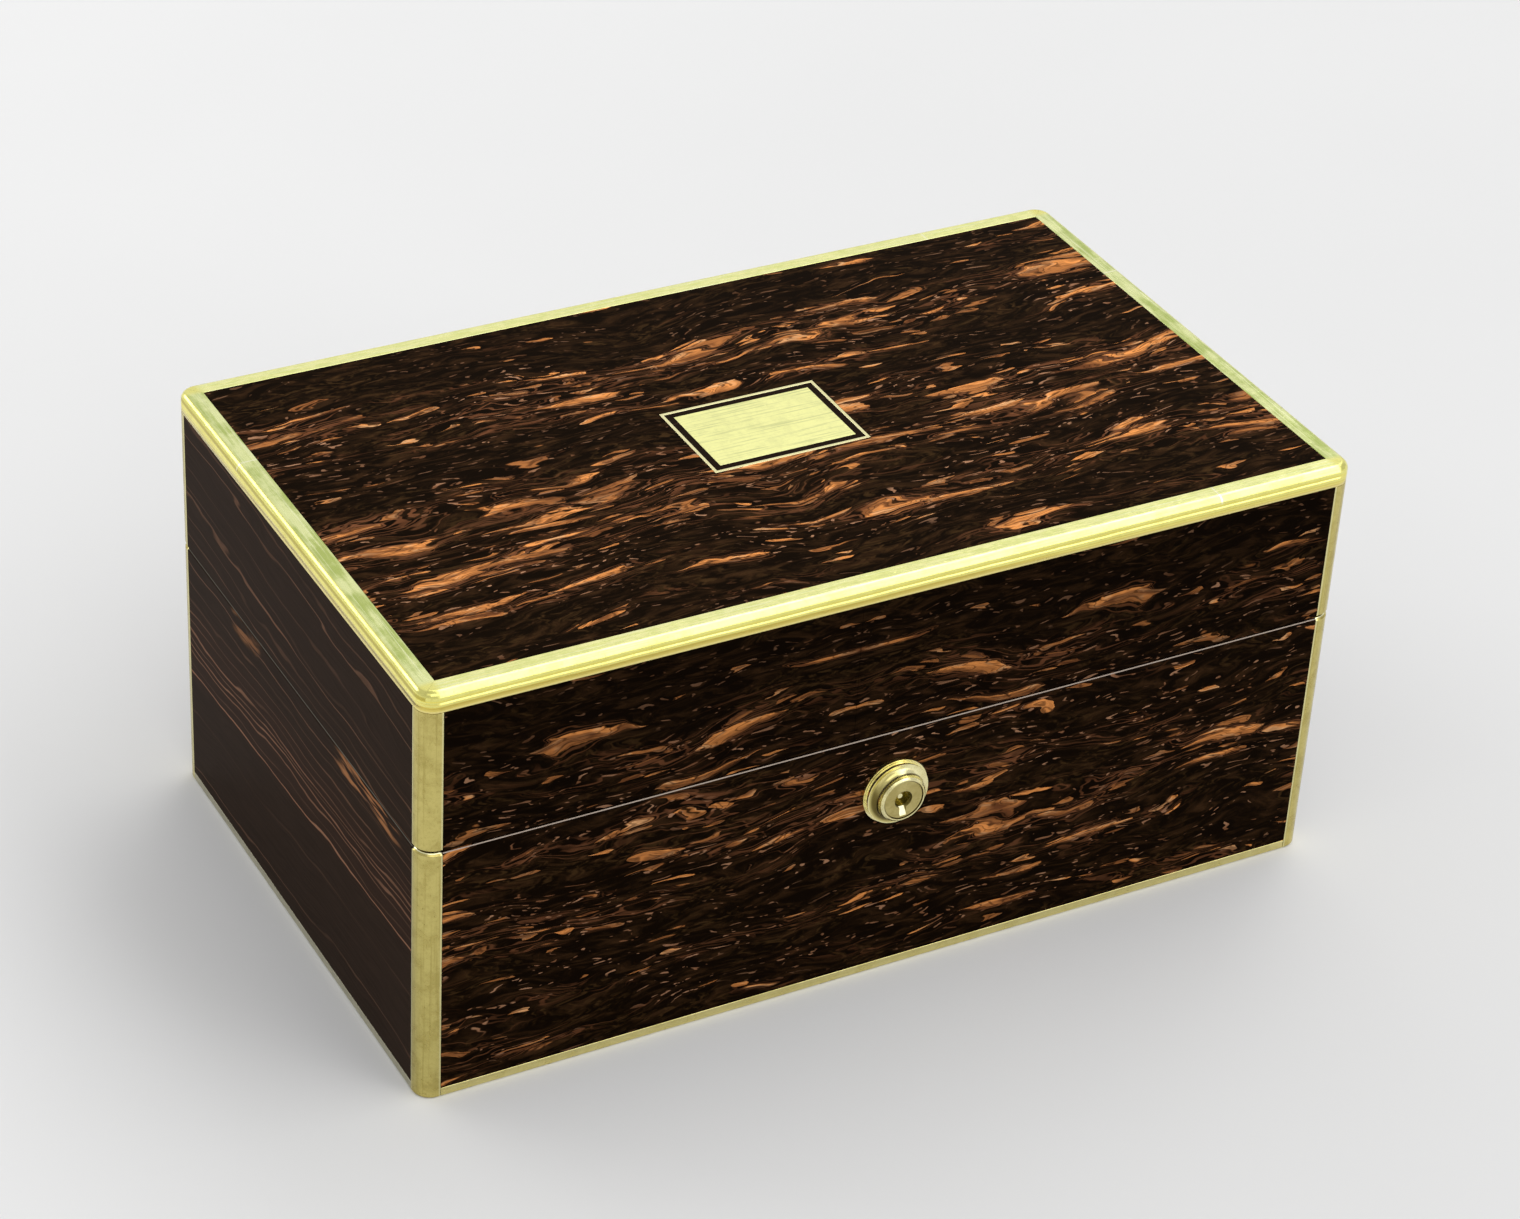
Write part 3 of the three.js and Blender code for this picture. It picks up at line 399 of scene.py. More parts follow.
def veneer(
    name, plane, seed, bands=(), mirrored_at=None, joint_at=None,
    pale_edge=None, painted_shade_and_tone=1.0, gloss=0.006, kind=FIGURED,
):
    """A veneer that lies in one plane.

    bands are where it is richly figured, across the grain: middle, half width and gain.
    pale_edge is the height above which the pale outer arris shows, worn and with a painted highlight, and its
    colour.
    """
    g, inputs = new_finish(name, Roughness=0.13, Specular_IOR_Level=gloss)
    if plane == "top":
        g.feed(inputs["Specular Tint"], (1.0, 0.88, 0.5))
    x, y, z = g.split(place(g))
    along, across = {"top": (x, y), "front": (x, z), "end": (y, z)}[plane]
    if mirrored_at is not None:
        along = abs(along - mirrored_at)
    if joint_at is not None:
        near = g.math("SUBTRACT", 1.0, abs(along - joint_at) / 26, clamp=True)
        across = across + near * 4.0
    if kind is STRIPED:
        found = g.use(STRIPED, Along=along, Across=across, Seed=seed)
    else:
        figure = -0.35
        for middle, half_width, gain in bands:
            figure = g.step(abs(across - middle), half_width + 6, half_width - 2) * gain + figure
        found = g.use(FIGURED, Along=along, Across=across, Seed=seed, Figure=figure)
    # Painted shade: upright fronts and backs are darkened, as they get less light than the top; on the
    # plate's band it is its darker tone
    colour = g.blend(1.0 - painted_shade_and_tone, found["Color"], (0.0, 0.0, 0.0))
    # The pale outer arris: wear, and a painted highlight where the edge catches the light
    if pale_edge:
        height, tone = pale_edge
        out = g.math("MAXIMUM", abs(x) - CASE_HALF["x"], abs(y) - CASE_HALF["y"])
        arris = g.step(z, height, height + 0.06) * g.step(out, -0.42, -0.36)
        colour = g.blend(arris, colour, tone)
    g.feed(inputs["Base Color"], colour)
    g.feed(inputs["Normal"], g.bump(found["Height"], 0.00002, 0.15))


# Top edging: the heights, depths and colours of the lines along its face, and the painted reflection on its
# flat top by the way it runs
FACE_LINES = (
    (HEIGHT - 2.6, 0.8, (0.9, 0.76, 0.14)),
    (HEIGHT - 3.6, 0.45, (1.0, 0.78, 0.2)),
    (HEIGHT - 4.7, 0.6, (0.72, 0.53, 0.08)),
)
TOP_REFLECTION = {"x": ((0.86, 0.88, 0.32), (0.99, 0.97, 0.42)), "y": ((0.5, 0.59, 0.16), (0.86, 0.9, 0.42))}
PATCHES = {"x": (0.35, 6.0, 0.6), "y": (0.09, 2.2, 0.25)}


def top_edging_look(g, here, streaks, along, joint, colour):
    """Painted reflection on its flat top, scratched; painted shade in bands on its face; its lines, its bead
    and a pale butt joint.
    """
    parts = dict(zip("xyz", g.split(here)))
    at = parts[along]
    z = parts["z"]
    patch_scale, lengthwise, crosswise = PATCHES[along]
    stretch = [lengthwise if axis == along else crosswise for axis in "xyz"]
    smeared = g.noise(g.vector_math("MULTIPLY", streaks, stretch), detail=3.0)
    cloudy = g.noise(here, detail=4.0, roughness=0.65, scale=patch_scale)
    # Painted reflection on the flat top: clouded, greener on the end strips, pale yellow on the front and
    # back; the scratches are wear
    top_reflection = g.blend(g.step(cloudy * 0.5 + smeared * 0.5, 0.4, 0.6), *TOP_REFLECTION[along])
    scratches = g.step(g.noise(streaks, detail=3.0, roughness=0.6), 0.5, 0.7)
    top_reflection = g.blend(scratches * 0.6, top_reflection, (0.92, 0.94, 0.56))
    away = g.step(abs(at), CASE_HALF[along] - 4.5, CASE_HALF[along] - 7.5)
    height = z + g.swing(g.noise(here, detail=2.0, scale=0.05), 0.3)
    lifted = height + g.step(at, 10, 60) * 0.9
    face = g.step(z, HEIGHT - 2.0, HEIGHT - 2.3)
    top = g.step(z, HEIGHT - 2.4, HEIGHT - 2.0)
    layers = [
        (g.step(z, HEIGHT - 0.3, HEIGHT - 0.04) * away, top_reflection),
        # Painted shade: two duller bands low on the face, where it reflects darker surroundings
        (g.step(lifted, HEIGHT - 4.1, HEIGHT - 4.5) * 0.9, (0.82, 0.66, 0.15)),
        (g.step(height, HEIGHT - 5.5, HEIGHT - 5.8) * 0.9, (0.86, 0.74, 0.28)),
    ]
    for line, depth, tone in FACE_LINES:
        layers.append((g.step(abs(height - line), 0.3, 0.08) * face * depth, tone))
    # Painted shade: a dark olive band below the arris of the end strips
    if along == "y":
        layers.append((g.step(abs(height - (HEIGHT - 2.0)), 0.75, 0.3) * 0.85, (0.5, 0.42, 0.07)))
    layers.append((g.step(abs(at - joint), 0.42, 0.2) * top * 0.6, (1.0, 0.98, 0.7)))
    for share, tone in layers:
        colour = g.blend(share, colour, tone)
    bead = g.step(height, HEIGHT - 2.8, HEIGHT - 3.9) * g.step(lifted, HEIGHT - 5.6, HEIGHT - 4.2)
    return colour, g.bump(bead, 0.0003)


def corner_edging_highlights(g, here, colour):
    """Painted highlights: pale rims where the eased edges catch the light, and a bright arris at the top of
    the base.
    """
    x, y, z = g.split(here)
    inside_x = abs(x) - (CASE_HALF["x"] - STRIP)
    inside_y = abs(y) - (CASE_HALF["y"] - STRIP)
    rim = g.step(g.math("MINIMUM", inside_x, inside_y), 0.75, 0.35)
    arris = g.step(z, BASE_TOP - 0.3, BASE_TOP - 0.14) * g.step(z, BASE_TOP + 0.1, BASE_TOP + 0.05)
    # Painted highlight along the rims, then a painted highlight on the base's top arris
    colour = g.blend(rim * 0.6, colour, (0.86, 0.82, 0.45))
    return g.blend(arris, colour, (1.0, 0.98, 0.66))


def lock_painted_shade(g, here, colour):
    """Painted shade: a cove darkened towards its lower left, which faces down and away from the light, and a
    painted shadow line in the gap round the cap.
    """
    x, _, z = g.split(here)
    aside = x - LOCK_X
    up = z - LOCK_Z
    radius = g.math("SQRT", aside * aside + up * up)
    low_left = aside * -0.8 + up * -0.6
    ring = g.step(radius, 7.45, 7.7) * g.step(radius, 10.1, 9.7)
    deep = g.step(radius, 10.0, 8.6) * g.step(low_left, 0.0, 5.5)
    edge = g.step(radius, 6.2, 6.45) * g.step(radius, 6.75, 6.5)
    # Painted shade over the cove's lower left, deepest down in the cove
    colour = g.blend(ring * g.step(low_left, -7.0, -2.0), colour, (0.76, 0.66, 0.25))
    colour = g.blend(ring * deep * 0.92, colour, (0.13, 0.095, 0.02))
    # Painted shadow in the gap round the cap
    return g.blend(edge * 0.7, colour, (0.3, 0.22, 0.05))


def brass(
    name, along, bright, dull, tarnish, relief=0.5,
    roughness=None, pitch=(34, 0.5), drawn=0.4, joint=None, look=None,
):
    """Brass with its drawn streaks along one axis.

    pitch is how long and how far apart the streaks are, and drawn is how much they tell. relief is how
    strongly streaks and dents stand out. joint is the place of a butt joint along top edging.
    """
    g, inputs = new_finish(name, Metallic=1.0, Roughness=0.25)
    here = place(g)
    streaks = g.vector_math("DIVIDE", here, [pitch[0] if axis == along else pitch[1] for axis in "xyz"])
    found = g.use(
        AGED_BRASS, Point=here, Streaks=streaks, Bright=bright, Dull=dull, Tarnish=tarnish, Drawn=drawn
    )
    colour = found["Color"]
    bead = None
    if joint:
        colour, bead = top_edging_look(g, here, streaks, along, joint, colour)
    if look:
        colour = look(g, here, colour)
    g.feed(inputs["Base Color"], colour)
    g.feed(inputs["Roughness"], roughness or found["Roughness"])
    g.feed(inputs["Normal"], g.bump(found["Height"], 0.00006, relief, over=bead))


def wood(name, axis, seed, dark, light, roughness=0.35):
    g, inputs = new_finish(name, Roughness=roughness, Specular_IOR_Level=0.35)
    x, y, z = g.split(place(g))
    along, across = (x, y + z) if axis == "x" else (y, x + z)
    found = g.use(GRAIN, Along=along, Across=across, Seed=seed, Dark=dark, Light=light)
    g.feed(inputs["Base Color"], found["Color"])
    g.feed(inputs["Normal"], g.bump(found["Height"], 0.00005, 0.4))


def napped_cloth(name, deep, pale):
    sheen = {"Sheen_Weight": 0.6, "Sheen_Roughness": 0.35, "Sheen_Tint": (0.75, 0.32, 0.38)}
    g, inputs = new_finish(name, Roughness=0.85, Specular_IOR_Level=0.1, **sheen)
    found = g.use(PILE, Point=place(g), Deep=deep, Pale=pale)
    g.feed(inputs["Base Color"], found["Color"])
    g.feed(inputs["Normal"], g.bump(found["Height"], 0.00025, 0.5))


def woven_cloth(name, pitch, deep, pale):
    g, inputs = new_finish(name, Roughness=0.7, Specular_IOR_Level=0.25, Sheen_Weight=0.1)
    _, y, z = g.split(place(g))
    found = g.use(WEAVE, Along=z, Across=y, Pitch=pitch, Deep=deep, Pale=pale)
    g.feed(inputs["Base Color"], found["Color"])
    g.feed(inputs["Normal"], g.bump(found["Height"], 0.0001, 0.6))


BRIGHT = (0.92, 0.87, 0.27)
DULL = (0.72, 0.67, 0.18)
AGED = (0.62, 0.53, 0.18)
BROWNED = (0.43, 0.35, 0.1)
FOOT = (0.74, 0.66, 0.3)
ARRIS_HIGHLIGHT_AND_WEAR = (BASE_TOP - 0.28, (0.48, 0.39, 0.32))
END_ARRIS_HIGHLIGHT_AND_WEAR = (BASE_TOP - 0.2, (0.17, 0.16, 0.13))
veneer("top_veneer", "top", 3.0, bands=((42, 15, 1.15), (-27, 33, 1.25)), joint_at=-12.0)
# The fronts and back are darkened by painted shade
veneer("lid_front_veneer", "front", 21.0, bands=((100, 11, 0.62),), mirrored_at=-16.0, painted_shade_and_tone=0.54)
veneer("base_front_veneer", "front", 57.0, ((66, 19, 1.0), (26, 14, 0.75)), pale_edge=ARRIS_HIGHLIGHT_AND_WEAR, painted_shade_and_tone=0.68)
veneer("back_veneer", "front", 83.0, bands=((66, 60, 0.8),), painted_shade_and_tone=0.72)
veneer("lid_end_veneer", "end", 5.0, gloss=0.004, kind=STRIPED)
veneer("base_end_veneer", "end", 5.0, pale_edge=END_ARRIS_HIGHLIGHT_AND_WEAR, gloss=0.004, kind=STRIPED)
veneer("ebony", "top", 9.0, painted_shade_and_tone=0.6, kind=STRIPED)
brass("brass_x", "x", BRIGHT, DULL, 0.5, joint=104.8)
brass("brass_y", "y", BRIGHT, DULL, 0.6, joint=41.7)
brass("brass_z", "z", AGED, BROWNED, 0.8, pitch=(60, 1.1), drawn=0.8, look=corner_edging_highlights)
brass("foot_brass_x", "x", FOOT, AGED, 0.6)
# Painted shade: the end foot strips get a greyer, darker copy of the foot brass
brass("foot_brass_y", "y", (0.5, 0.47, 0.33), (0.36, 0.34, 0.22), 0.6)
brass("turned_brass", "y", (0.97, 0.9, 0.5), (0.66, 0.57, 0.22), 0.7, look=lock_painted_shade)
brass("cap_brass", "x", (0.57, 0.49, 0.2), (0.4, 0.32, 0.1), 0.7, roughness=0.45, pitch=(3, 1.2))
brass("key_brass", "x", (0.62, 0.58, 0.36), (0.48, 0.43, 0.2), 0.3)
brass("stringing_brass", "x", (0.96, 0.9, 0.5), (0.85, 0.78, 0.36), 0.4)
brass("hinge_brass", "x", (0.7, 0.58, 0.23), BROWNED, 0.5, pitch=(20, 0.35))
brass(
    "plate_brass", "x", (0.93, 0.92, 0.4), (0.55, 0.57, 0.25), 0.34,
    relief=0.8, roughness=0.4, pitch=(22, 0.8), drawn=0.6,
)
brass("steel", "x", (0.42, 0.42, 0.43), (0.25, 0.24, 0.23), 0.4)
brass("screw_brass", "x", (0.6, 0.5, 0.22), DULL, 0.6)
brass("screw_shadow", "x", (0.05, 0.035, 0.015), (0.02, 0.013, 0.006), 0.8, relief=0.3, roughness=0.6)
wood("carcass_x", "x", 2.0, (0.05, 0.014, 0.006), (0.13, 0.045, 0.018))
wood("carcass_y", "y", 4.0, (0.05, 0.014, 0.006), (0.13, 0.045, 0.018))
wood("lining_wood_x", "x", 6.0, (0.022, 0.007, 0.004), (0.085, 0.026, 0.011), roughness=0.22)
wood("lining_wood_y", "y", 8.0, (0.022, 0.007, 0.004), (0.085, 0.026, 0.011), roughness=0.22)
napped_cloth("velvet", (0.05, 0.003, 0.010), (0.13, 0.008, 0.026))
napped_cloth("baize", (0.008, 0.02, 0.011), (0.02, 0.045, 0.026))
woven_cloth("ribbon", 0.55, (0.07, 0.006, 0.014), (0.2, 0.02, 0.04))


# Making pieces


def link(name, mesh):
    made = bpy.data.objects.new(name, mesh)
    bpy.context.scene.collection.objects.link(made)
    return made


def paint(piece, *names, sharpest=180):
    """Gives a piece its finishes, and smooth shading up to an angle between faces."""
    mesh = piece.data
    mesh.materials.clear()
    for name in names:
        mesh.materials.append(finishes[name])
    if sharpest:
        mesh.shade_smooth()
        mesh.set_sharp_from_angle(angle=math.radians(sharpest))


def settle(piece, body, slot, *stands_for):
    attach(piece, body)
    if stands_for:
        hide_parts(*stands_for)


def bridge(bm, rings, closed=True, joined=False):
    """Faces from each ring of corners to the next. joined leads from the last ring back to the first."""
    for first, second in zip(rings, rings[1:] + rings[:1] if joined else rings[1:]):
        count = len(first)
        for k in range(count if closed else count - 1):
            after = (k + 1) % count
            bm.faces.new((first[k], first[after], second[after], second[k]))


def mesh_from(bm, name, turn_outwards=True):
    """The finished mesh, brought from millimetres to metres."""
    if turn_outwards:
        bmesh.ops.recalc_face_normals(bm, faces=bm.faces)
    bmesh.ops.scale(bm, vec=(MM, MM, MM), verts=bm.verts)
    mesh = bpy.data.meshes.new(name)
    bm.to_mesh(mesh)
    bm.free()
    return mesh


def on_front_arris(edge):
    """The long top edge of the base's front veneer."""
    return all(v.co.z > (BASE_TOP - 0.01) * MM and v.co.y < -90.2 * MM for v in edge.verts)


def is_mitre(face):
    x, y, z = face.normal
    return abs(z) < 0.01 and abs(abs(x) - abs(y)) < 0.02


def fuller_arris(bm):
    """Brings the top edging's rounded arris to a smaller radius."""
    centre = (CASE_HALF["x"] - CORNER_RADIUS, CASE_HALF["y"] - CORNER_RADIUS)
    for vert in bm.verts:
        x, y, z = vert.co / MM
        out = Vector((max(abs(x) - centre[0], 0.0), max(abs(y) - centre[1], 0.0), 0.0))
        inset = (CORNER_RADIUS - out.length) / ARRIS_RADIUS
        rise = (z - HEIGHT + ARRIS_RADIUS) / ARRIS_RADIUS
        if rise > -0.01 and inset < 1.01:
            out = Vector((math.copysign(out.x, x), math.copysign(out.y, y), 0.0)).normalized()
            move = out * inset + Vector((0.0, 0.0, 1.0 - rise))
            vert.co += move * (ARRIS_RADIUS - FULLER_ARRIS_RADIUS) * MM


def groove_filled(bm):
    """Old polish in the groove round the lock's flange brings its floor outwards."""
    filling, room = 0.25, 0.03
    for vert in bm.verts:
        away = Vector((vert.co.x - LOCK_X * MM, 0, vert.co.z - LOCK_Z * MM))
        if abs(away.length - GROOVE_RADIUS * MM) < room * MM:
            vert.co += away.normalized() * filling * MM


def softened(node, name, width, finish, slot, body, segments=2, burnished=0.0, which=None, reshape=None):
    """A copy of a solid with its edges eased by width, in place of the solid.

    burnished is how far its mitres are drawn out, so that they close without a line. which picks the edges.
    reshape changes the copy first.
    """
    touching, flat, sharp = 0.001 * MM, math.radians(0.6), math.radians(32)
    mesh = nodes[node].data.copy()
    mesh.name = name
    bm = bmesh.new()
    bm.from_mesh(mesh)
    bmesh.ops.remove_doubles(bm, verts=bm.verts, dist=touching)
    bmesh.ops.dissolve_limit(bm, angle_limit=flat, verts=bm.verts, edges=bm.edges)
    if reshape:
        reshape(bm)
    edges = [e for e in bm.edges if e.is_manifold and e.calc_face_angle(0) > sharp]
    if which:
        edges = [e for e in edges if which(e)]
    if burnished:
        mitres = [f for f in bm.faces if is_mitre(f) and f.calc_area() > 1e-5]
        shut = {e for f in mitres for e in f.edges}
        edges = [e for e in edges if e not in shut]
        for face in mitres:
            for vert in face.verts:
                vert.co += face.normal * burnished * MM
    bmesh.ops.bevel(
        bm, geom=edges, offset=width * MM, segments=segments, profile=0.5, affect="EDGES", clamp_overlap=True
    )
    bmesh.ops.remove_doubles(bm, verts=bm.verts, dist=touching)
    bm.normal_update()
    bm.to_mesh(mesh)
    bm.free()
    piece = link(name, mesh)
    paint(piece, finish, sharpest=30)
    weighted = piece.modifiers.new("even_faces", "WEIGHTED_NORMAL")
    weighted.keep_sharp = True
    settle(piece, body, slot, node)
    return piece


# Veneers and boards keep their solids. A board that isn't named here has its grain along x
KEPT = {"lid_top_veneer": "top_veneer", "plate_band": "ebony"}
for side in ("left", "right"):
    KEPT[f"lid_front_{side}_veneer"] = "lid_front_veneer"
for level in ("lid", "base"):
    KEPT[f"{level}_back_veneer"] = "back_veneer"
    for side in ("left", "right"):
        KEPT[f"{level}_{side}_veneer"] = f"{level}_end_veneer"
        KEPT[f"{level}_{side}_board"] = "carcass_y"
for name, part in nodes.items():
    paint(part, KEPT.get(name, "carcass_x"), sharpest=30)

softened(
    "base_front_veneer", "front_veneer", 0.22, "base_front_veneer", "veneer", "box",
    segments=1, which=on_front_arris,
)

# Brass edging
SLOT = "brass_edging"
for side, axis in {"front": "x", "back": "x", "left": "y", "right": "y"}.items():
    drawn_out = {"burnished": 0.069, "reshape": fuller_arris}
    softened(f"lid_edge_strip_{side}", f"top_edging_{side}", 0.1, f"brass_{axis}", SLOT, "lid", **drawn_out)
    softened(f"base_foot_strip_{side}", f"foot_edging_{side}", 0.2, f"foot_brass_{axis}", SLOT, "box")
for corner in ("front_left", "front_right", "back_left", "back_right"):
    for level, body in (("lid", "lid"), ("base", "box")):
        strip = f"{level}_corner_strip_{corner}"
        softened(strip, f"{level}_corner_edging_{corner}", 0.12, "brass_z", SLOT, body)

# Name plate, lock and hinge: solid, piece, easing, finish, slot and body
softened("name_plate", "blank_plate", 0.12, "plate_brass", "name_plate", "lid")
softened("plate_stringing", "stringing", 0.06, "stringing_brass", SLOT, "lid")
softened("lock_nozzle", "nozzle", 0.15, "turned_brass", "brass_lock", "box", reshape=groove_filled)
softened("lock_cap", "cap", 0.12, "cap_brass", "brass_lock", "box")
softened("lock_barrel", "barrel_turned", 0.1, "turned_brass", "brass_lock", "barrel")
softened("lock_case", "case_of_lock", 0.15, "hinge_brass", "brass_lock", "box")
softened("lock_bolt", "bolt_of_lock", 0.15, "steel", "steel", "bolt")
softened("lid_hook_plate", "hook_plate", 0.15, "hinge_brass", "brass_lock", "lid")
softened("hinge_base_leaf", "base_leaf", 0.12, "hinge_brass", "brass_hinge", "box")
softened("hinge_lid_leaf", "lid_leaf", 0.12, "hinge_brass", "brass_hinge", "lid")
softened("hinge_pin", "pin_of_hinge", 0.1, "steel", "steel", "box")


def notch_slope():
    """The bright sloped face at the foot of the keyhole, where the key's bit goes in."""
    half, high, low, front, back = 1.06, 2.75, 5.42, -96.68, -95.46
    top, foot = LOCK_Z - high, LOCK_Z - low
    points = []
    for side in (-half, half):
        points += [(side, front, foot), (side, back, foot), (side, back, top)]
    mesh = bpy.data.meshes.new("notch_slope")
    corners = [((LOCK_X + x) * MM, y * MM, z * MM) for x, y, z in points]
    mesh.from_pydata(corners, [], [(0, 1, 2), (3, 5, 4), (0, 2, 5, 3), (0, 3, 4, 1), (1, 4, 5, 2)])
    piece = link("notch_slope", mesh)
    paint(piece, "key_brass", sharpest=None)
    settle(piece, "box", "brass_lock")


notch_slope()


def waxed(node, width, body, inner_half):
    """Inside wood. End walls, and the edges further out than inner_half, get the grain along y."""
    piece = softened(node, f"{node}_waxed", width, "lining_wood_x", "inner_wood", body)
    piece.data.materials.append(finishes["lining_wood_y"])
    for face in piece.data.polygons:
        end_wall = abs(face.normal.x) > 0.6
        end_edge = abs(face.normal.z) > 0.6 and abs(face.center.x) > inner_half * MM
        face.material_index = 1 if end_wall or end_edge else 0


# Wood inside
for node in ("base_liner", "tray_rest_left", "tray_rest_right"):
    waxed(node, 0.3, "box", 137.5)
for node in ("tray_frame", "tray_floor", "tray_dividers"):
    waxed(node, 0.4, "tray", 134.0)


# Soft linings


def stations(half, edge, step):
    """Places from -half to half: close together near the ends, then about a step apart."""
    near = [edge * share for share in (0.0, 0.08, 0.22, 0.42, 0.68, 1.0)]
    middle = half - edge
    count = max(2, round(2 * middle / step))
    inner = [-middle + 2 * middle * i / count for i in range(count + 1)]
    return [-half + d for d in near[:-1]] + inner + [half - d for d in reversed(near[:-1])]


def pad_mesh(name, centre, half, back, face, corner, edge, step, hollow=None):
    """A pad with a flat back, a face that rolls over at its edges, and rounded corners.

    back and face are heights. hollow(x, y) is how far the face is drawn in there.
    """
    bm = bmesh.new()
    xs = stations(half[0], edge, step)
    ys = stations(half[1], edge, step)
    rows = []
    for y in ys:
        row = []
        for x in xs:
            over_x = max(abs(x) - (half[0] - corner), 0.0)
            over_y = max(abs(y) - (half[1] - corner), 0.0)
            reach = math.hypot(over_x, over_y)
            pull = corner / reach if reach > corner else 1.0
            px = math.copysign(abs(x) - over_x * (1 - pull), x)
            py = math.copysign(abs(y) - over_y * (1 - pull), y)
            inward = min(half[0] - abs(x), half[1] - abs(y), edge) / edge
            share = 0.2 + 0.8 * math.sqrt(max(0.0, 1 - (1 - inward) ** 2))
            drawn = hollow(px, py) * inward if hollow else 0.0
            z = back + (face - back) * share + math.copysign(drawn, back - face)
            row.append(bm.verts.new((px + centre[0], py + centre[1], z)))
        rows.append(row)
    bridge(bm, rows, closed=False)
    rim = [*rows[0], *[r[-1] for r in rows[1:]], *rows[-1][-2::-1], *[r[0] for r in rows[-2:0:-1]]]
    foot = [bm.verts.new((v.co.x, v.co.y, back)) for v in rim]
    bridge(bm, [rim, foot])
    bm.faces.new(foot)
    return mesh_from(bm, name)


def apply_modifiers(piece):
    graph = bpy.context.evaluated_depsgraph_get()
    made = bpy.data.meshes.new_from_object(piece.evaluated_get(graph))
    made.name = piece.name
    piece.modifiers.clear()
    piece.data = made


def swell(piece, voxel, most, is_held):
    """Puffs a slack cover up by cloth simulation. Held points stay, and none moves further than most."""
    frames = 20
    remesh = piece.modifiers.new("even_mesh", "REMESH")
    remesh.mode = "VOXEL"
    remesh.voxel_size = voxel * MM
    apply_modifiers(piece)
    before = [v.co.copy() for v in piece.data.vertices]
    held = [i for i, co in enumerate(before) if is_held(co.x / MM, co.y / MM, co.z / MM)]
    piece.vertex_groups.new(name="held").add(held, 1.0, "REPLACE")
    cloth = piece.modifiers.new("cover", "CLOTH")
    cloth.settings.use_pressure = True
    cloth.settings.uniform_pressure_force = 4.0
    cloth.settings.effector_weights.gravity = 0.0
    cloth.settings.vertex_group_mass = "held"
    cloth.point_cache.frame_start = 1
    cloth.point_cache.frame_end = frames
    for number in range(1, frames + 1):
        bpy.context.scene.frame_set(number)
    apply_modifiers(piece)
    bpy.context.scene.frame_set(1)
    piece.vertex_groups.clear()
    for vert, start in zip(piece.data.vertices, before):
        move = vert.co - start
        if move.length > most * MM:
            vert.co = start + move.normalized() * most * MM
    finer = piece.modifiers.new("finer", "SUBSURF")
    finer.levels = 1
    finer.render_levels = 1
    apply_modifiers(piece)


# The lid's padded panel: its tufts, its depth and its half size
TUFT_X = 23.5
TUFT_Y = 35.0
LID_PAD_BACK = 131.7
LID_PAD_FACE = 122.8
LID_PAD_HALF = (139.6, 77.5)


def tuft_place(x, y):
    """Where a point lies among the tufts: whole numbers are on the two sets of slanting seams."""
    a = x / TUFT_X
    b = (y - TUFT_Y / 2) / TUFT_Y
    return (a + b) / 2, (a - b) / 2


def tuft_distance(x, y):
    p, q = (round(n) for n in tuft_place(x, y))
    return math.hypot(x - (p + q) * TUFT_X, y - (p - q) * TUFT_Y - TUFT_Y / 2)


def seam_distance(x, y):
    per_unit = 1 / math.hypot(0.5 / TUFT_X, 0.5 / TUFT_Y)
    return min(abs(n - round(n)) for n in tuft_place(x, y)) * per_unit


def dip(depth, distance, width):
    return depth * math.exp(-((distance / width) ** 2))


def lid_cushion():
    """Buttoned velvet panel that fills the lid."""

    def hollow(x, y):
        return max(dip(3.8, tuft_distance(x, y), 7.5), dip(1.5, seam_distance(x, y), 3.6))

    def is_held(x, y, z):
        return z > LID_PAD_BACK - 1.5 or tuft_distance(x, y) < 3.6

    mesh = pad_mesh("lid_cushion", (0, 0), LID_PAD_HALF, LID_PAD_BACK, LID_PAD_FACE + 2.2, 8, 7, 4.0, hollow)
    piece = link("lid_cushion", mesh)
    swell(piece, 3.6, 2.0, is_held)
    for vert in piece.data.vertices:
        x, y, z = (n / MM for n in vert.co)
        if z < LID_PAD_BACK - 2.5:
            inside = min(1.0, (LID_PAD_HALF[0] - abs(x)) / 12, (LID_PAD_HALF[1] - abs(y)) / 12)
            crease = dip(1.6, seam_distance(x, y), 1.8) * max(inside, 0.25)
            ruffle = 0.35 * noise.noise(Vector((x, y, z)) * 0.06)
            vert.co.z = (z + crease + ruffle) * MM
        vert.co.z = max(vert.co.z, LID_PAD_FACE * MM)
    paint(piece, "velvet")
    settle(piece, "lid", "velvet", "lid_pad")


def lid_cushion_buttons():
    bm = bmesh.new()
    for i, j in ((i, j) for j in range(-2, 2) for i in range(-5, 6) if (i + j) % 2 == 0):
        x, y = i * TUFT_X, j * TUFT_Y + TUFT_Y / 2
        rings = []
        for radius, drop in ((0.6, 1.55), (1.7, 1.4), (2.6, 1.0), (3.1, 0.4), (3.2, -0.4), (2.9, -2.0)):
            z = LID_PAD_FACE + 4.6 - drop
            ring = []
            for k in range(20):
                turn = k * math.tau / 20
                wavy = radius * (1 + 0.03 * math.sin(5 * turn + x))
                ring.append(bm.verts.new((x + wavy * math.cos(turn), y + wavy * math.sin(turn), z)))
            rings.append(ring)
        bm.faces.new(rings[0])
        bridge(bm, rings)
        bm.faces.new(rings[-1])
    piece = link("lid_cushion_buttons", mesh_from(bm, "lid_cushion_buttons"))
    paint(piece, "velvet", sharpest=60)
    settle(piece, "lid", "velvet")


